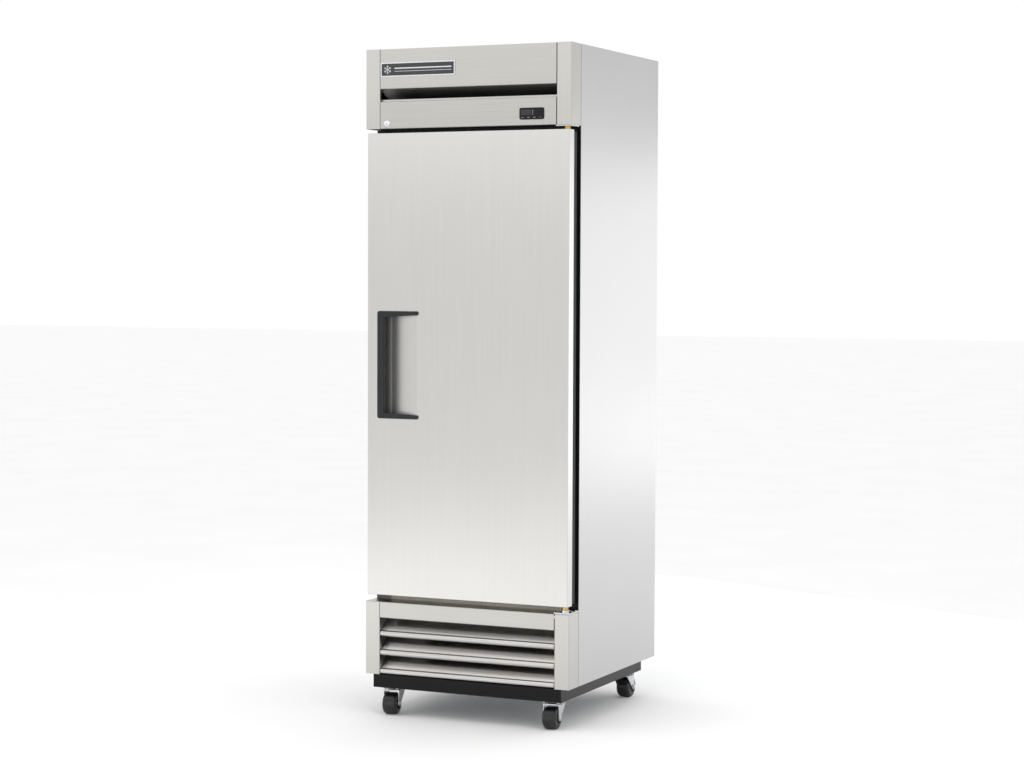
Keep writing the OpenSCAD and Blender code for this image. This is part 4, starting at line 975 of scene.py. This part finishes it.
def casters():
    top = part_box("caster_fork_front_left")[1].z
    plate_parts, race_parts = [], []
    for side in ("left", "right"):
        for end in ("front", "rear"):
            swivel = Vector(JOINTS[f"caster_{end}_{side}_swivel"]["pos_m"])
            axle = Vector(JOINTS[f"wheel_{end}_{side}_roll"]["axis"])
            heading = Matrix.Rotation(atan2(axle.y, axle.x), 4, "Z")
            turn = Matrix.Translation((swivel.x, swivel.y, 0)) @ heading
            node = f"caster_fork_{end}_{side}"
            piece(fork(turn), node + "_pressed", ZINC, "zinc_plate", f"fork_{end}_{side}", node)
            wheel(turn, end, side)
            plate_parts += caster_plate(swivel, top)
            race_parts.append(caster_race(swivel, top))
    piece(merged("plates", *plate_parts), "caster_plates_pressed", ZINC, "zinc_plate", "cabinet",
          "caster_plates")
    piece(merged("races", *race_parts), "caster_races", YELLOW_ZINC, "zinc_plate", "cabinet")


def caster_plate(swivel, top):
    """Mounting plate with its four bolts, the king pin and its head."""
    half, bolt_at = 31 * MM, 23 * MM
    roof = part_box("caster_plates")[1].z
    square = [(swivel.x + sx * half, swivel.y + sy * half) for sx, sy in ((-1, -1), (1, -1), (1, 1), (-1, 1))]
    parts = [softened(prism(rounded(square, 6 * MM, True), "Z", roof - 3 * MM, roof), 0.5 * MM, 2, 50)]
    pin = [(0, -7.2), (8, -7.2), (10, -6.4), (10, -4.6), (6, -4.4), (6, 2), (0, 2)]
    parts.append(turned([(r * MM, top + h * MM) for r, h in pin], "Z", (swivel.x, swivel.y, 0), 40))
    bolt = [(0, -7.5), (5.4, -7.5), (6.2, -6.9), (6.2, -3), (0, -3)]
    for sx in (-1, 1):
        for sy in (-1, 1):
            spot = (swivel.x + sx * bolt_at, swivel.y + sy * bolt_at, 0)
            parts.append(turned([(r * MM, roof + h * MM) for r, h in bolt], "Z", spot, 6))
    return parts


def wheel(turn, end, side):
    """Wheel with a crowned tread, a step to its recessed web and a hub on each side."""
    r, w = WHEEL_R, WHEEL_HALF
    crown = 9 * MM
    hub = [(9, 0), (10, 0.8), (11, 3.4), (17.5, 4), (18.5, 0.8), (20, 0)]
    half = [(AXLE_R + RUN_GAP, w)] + [(r * MM, w - h * MM) for r, h in hub]
    tread = arc((r - crown, w - crown), crown, pi / 2, 0, 6)
    profile = half + tread + [(x, -h) for x, h in reversed(tread)] + [(x, -h) for x, h in reversed(half)]
    body = turned(profile, "X", (0, -TRAIL, WHEEL_R), 72)
    node = f"caster_wheel_{end}_{side}"
    piece(placed(body, turn), node + "_tyre", POLYMER, "wheel_polymer", f"wheel_{end}_{side}", node)


# ---------------------------------------------------------------- inside and back

def shelves():
    """Wire shelves: a frame of thick rods and close deck wires."""
    thick, wire, pitch = 3 * MM, 1.7 * MM, 13.5 * MM
    parts = []
    for low, high in islands("wire_shelves"):
        z = low.z + thick
        for x in (low.x + thick, high.x - thick):
            parts.append(rod(thick, low.y, high.y, "Y", (x, 0, z)))
        for y in (low.y + thick, (low.y + high.y) / 2, high.y - thick):
            parts.append(rod(thick, low.x + thick, high.x - thick, "X", (0, y, z)))
        span = high.x - low.x - 2 * thick
        count = int(span / pitch)
        deck = grown(WIRES, None, COATED_WIRE, Count=count - 1, Pitch=span / count,
                     Length=high.y - low.y - 2 * MM, Radius=wire)
        parts.append(placed(deck, Matrix.Translation((low.x + thick + span / count, low.y + MM, z + thick))))
    piece(merged("shelves", *parts), "shelf_wires", COATED_WIRE, "white_pvc", "cabinet", "wire_shelves",
          angle=50)


def fin_pack(node, name, finish, slot, pitch):
    """Coil: close fins in a row between two end plates, and the tubes through them."""
    low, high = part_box(node)
    stub, end, fin = 6 * MM, 3 * MM, 0.5 * MM
    x0, x1 = low.x + stub, high.x - stub
    parts = [softened(block((x, low.y, low.z), (x + end, high.y, high.z)), 0.4 * MM) for x in (x0, x1 - end)]
    count = int((x1 - x0 - 2 * end) / pitch)
    first = x0 + end + pitch
    sheet = block((first, low.y + MM, low.z + MM), (first + fin, high.y - MM, high.z - MM))
    parts.append(grown(ROW, sheet, finish, Count=count - 1, Step=(pitch, 0, 0)))
    depth, rise = high.y - low.y, high.z - low.z
    rows = int(rise / (42 * MM))
    for i in range(rows):
        for share in (0.3, 0.7):
            spot = (0, low.y + share * depth, low.z + (i + 0.5) * rise / rows)
            parts.append(rod(5 * MM, low.x, high.x, "X", spot))
    piece(merged(name, *parts), name, finish, slot, "cabinet", node)


def fan_wheel(node, body):
    """Moulded fan: a domed hub and five curved blades with a twist."""
    low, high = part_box(node)
    centre = (low + high) / 2
    radius, hub, blades = 76 * MM, 18 * MM, 5
    shell = [(4.05, -7), (12, -7), (16, -6), (18, -3), (18, 7), (4.05, 7)]
    parts = [turned([(r * MM, h * MM) for r, h in shell], "Y", centre, 40)]
    for k in range(blades):
        verts, faces, n_r, n_a = [], [], 7, 7
        for side in (0, 1):
            for i in range(n_r):
                t = i / (n_r - 1)
                r = hub - 2 * MM + t * (radius - hub + 2 * MM)
                width = radians(52) * (1 - 0.35 * t)
                pitch = radians(36 - 16 * t)
                for j in range(n_a):
                    s = j / (n_a - 1) - 0.5
                    angle = 2 * pi * k / blades + s * width + 0.25 * t
                    y = s * width * r * tan(pitch) * 0.8 + 3 * MM * (0.25 - s * s)
                    y = y + side * 1.6 * MM - 0.8 * MM
                    y = max(-8.6 * MM, min(8.6 * MM, y))
                    verts.append((centre.x + r * cos(angle), centre.y + y, centre.z + r * sin(angle)))
        layer = n_r * n_a
        for i in range(n_r - 1):
            for j in range(n_a - 1):
                a = i * n_a + j
                faces.append((a, a + 1, a + n_a + 1, a + n_a))
                faces.append((a + layer, a + layer + 1, a + layer + n_a + 1, a + layer + n_a))
        border = [i * n_a for i in range(n_r)] + [(n_r - 1) * n_a + j for j in range(1, n_a)]
        border += [i * n_a + n_a - 1 for i in range(n_r - 2, -1, -1)] + [j for j in range(n_a - 2, 0, -1)]
        for a, b in zip(border, border[1:] + border[:1]):
            faces.append((a, b, b + layer, a + layer))
        parts.append(solid("blade", verts, faces))
    piece(merged("fan", *parts), node + "_moulded", BLACK_ABS, "black_abs", body, node)


def fan_guards():
    """Wire guard in front of the evaporator fan's opening."""
    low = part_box("evaporator_cover")[0]
    cover = placed(grown(GUARD, None, ZINC, Rings=7, Pitch=12 * MM, Spokes=6, Wire=1.1 * MM),
                   Matrix.Translation((0, low.y - 1.2 * MM, Vector(JOINTS["evaporator_fan_spin"]["pos_m"]).z))
                   @ Matrix.Rotation(pi / 2, 4, "X"))
    piece(cover, "evaporator_fan_guard", ZINC, "zinc_plate", "cabinet", angle=60)


def screws():
    """Cross-recess screws where the frame has them: on the back, and on the lower hinge bracket."""
    back_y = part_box("panel_screws")[1].y
    heads = {"rear": [], "front": []}
    for low, high in islands("panel_screws"):
        middle = (low + high) / 2
        if high.y > back_y - 5 * MM:
            heads["rear"].append((middle.x, low.y, middle.z))
        else:
            heads["front"].append((middle.x, middle.y, low.z))
    sets = [grown(SCREWS, solid("points", heads[end], []), ZINC, Radius=4 * MM, Height=2 * MM, Turn=turn)
            for end, turn in (("rear", (0, 0, pi)), ("front", (-pi / 2, 0, 0)))]
    piece(merged("screws", *sets), "panel_screw_heads", ZINC, "zinc_plate", "cabinet", "panel_screws",
          angle=40)


def bumpers():
    """Round rubber feet on the back, with rolled edges."""
    parts = []
    for low, high in islands("rear_bumpers"):
        centre, r = (low + high) / 2, (high.x - low.x) / 2
        roll, dent = 2.5 * MM, high.y - 2 * MM
        profile = [(0, low.y), (r, low.y), (r, high.y - roll)]
        profile += arc((r - roll, high.y - roll), roll, 0, pi / 2, 5)[1:]
        profile += [(4 * MM, high.y), (3 * MM, dent), (0, dent)]
        parts.append(turned(profile, "Y", (centre.x, 0, centre.z), 40))
    piece(merged("bumpers", *parts), "rear_bumper_feet", RUBBER, "black_rubber", "cabinet", "rear_bumpers")


def painted(finishes):
    """Gives CAD nodes that keep their own shape a finished material."""
    for node, finish in finishes.items():
        for slot in NODES[node].material_slots:
            slot.material = finish


def inside():
    shelves()
    # The condenser fins take black enamel, not bare aluminium: painted shade for the dark gaps seen between
    # the louvres.
    fin_pack("condenser_coil", "condenser_fins_black_for_shade", BLACK_ENAMEL, "aluminium", 5 * MM)
    fin_pack("evaporator_coil", "evaporator_fins", ALUMINIUM, "aluminium", 6 * MM)
    fan_wheel("condenser_fan_blade", "condenser_fan")
    fan_wheel("evaporator_fan_blade", "evaporator_fan")
    fan_guards()
    screws()
    bumpers()
    for node, width, finish, slot in (
            ("evaporator_cover", 0.5, STUCCO, "aluminium"),
            ("interior_lamp", 0.8, OPAL, "white_pvc"),
            ("shelf_clips", 0.5, ZINC, "zinc_plate"),
            ("compressor", 2, BLACK_ENAMEL, "painted_black_steel"),
            ("fan_motors", 1.2, BLACK_ENAMEL, "painted_black_steel"),
            ("drain_pan", 0.5, GALVANISED, "galvanised_steel"),
            ("rear_grille", 0.3, GALVANISED, "galvanised_steel"),
            ("condenser_shroud", 0.5, GALVANISED, "galvanised_steel"),
            ("cord_gland", 0.8, BLACK_ABS, "black_abs"),
            ("top_panel", 0.4, SIDE_STEEL, "stainless_steel"),
            ("back_panel", 0.4, GALVANISED, "galvanised_steel")):
        from_cad(node, width * MM, finish, slot)
    painted({
        "cabinet_insulation": FOAM, "door_foam": FOAM, "cabinet_liner": STUCCO, "base_deck": GALVANISED,
        "shelf_pilasters": ALUMINIUM, "refrigerant_lines": COPPER,
    })


# ---------------------------------------------------------------- studio

def area(name, place, target, width, height, power):
    """Soft box at a place, aimed at a target."""
    data = bpy.data.lights.new(name, "AREA")
    data.shape = "RECTANGLE"
    data.size, data.size_y = width, height
    data.energy = power
    obj = bpy.data.objects.new(name, data)
    obj.location = place
    obj.rotation_euler = (Vector(target) - Vector(place)).to_track_quat("-Z", "Y").to_euler()
    obj.visible_camera = False
    bpy.context.scene.collection.objects.link(obj)


def studio():
    scene = bpy.context.scene
    scene.view_settings.view_transform = "Standard"
    scene.view_settings.look = "None"
    world = bpy.data.worlds.new("studio")
    scene.world = world
    world.use_nodes = True
    world.node_tree.nodes["Background"].inputs["Color"].default_value = linear("#FFFFFF")
    world.node_tree.nodes["Background"].inputs["Strength"].default_value = 1.0
    half = 40.0
    floor = solid("studio_floor", [(-half, -half, 0), (half, -half, 0), (half, half, 0), (-half, half, 0)],
                  [(0, 1, 2, 3)])
    if floor.data.polygons[0].normal.z < 0:
        floor.data.flip_normals()
    floor.data.materials.append(FLOOR_PAINT)
    area("low_front", (-0.75, -1.9, 0.14), (0, -0.35, 0.25), 2.6, 0.32, 2.8)
    area("high_front", (-0.75, -1.9, 2.32), (0, -0.35, 1.9), 2.6, 0.9, 3.4)
    area("right_side", (1.29, 2.35, 1.16), (0.34, 0.03, 1.1), 4.0, 1.4, 13.5)
    area("right_low", (1.29, 2.35, 0.42), (0.34, 0.03, 0.42), 4.0, 0.84, 3.6)
    area("right_front", (2.6, -2.4, 1.1), (0.34, -0.35, 1.1), 0.8, 2.2, 6)
    area("overhead", (0, -0.6, 3.6), (0, -0.35, 1.0), 3.0, 3.0, 16)


def camera():
    data = bpy.data.cameras.new("camera")
    data.sensor_width = 36
    data.lens = 81.54
    data.clip_end = 200
    obj = bpy.data.objects.new("camera", data)
    yaw, pitch, roll = radians(24.874), radians(2.778), radians(0.215)
    turn = (Matrix.Rotation(yaw, 4, "Z") @ Matrix.Rotation(pi / 2 - pitch, 4, "X")
            @ Matrix.Rotation(roll, 4, "Z"))
    obj.matrix_world = Matrix.Translation((3.0688, -6.6399, 1.3725)) @ turn
    bpy.context.scene.collection.objects.link(obj)
    bpy.context.scene.camera = obj


camera()
side_panels()
header()
badge()
controller()
lock()
grille()
base()
cabinet_face()
door()
casters()
inside()
studio()
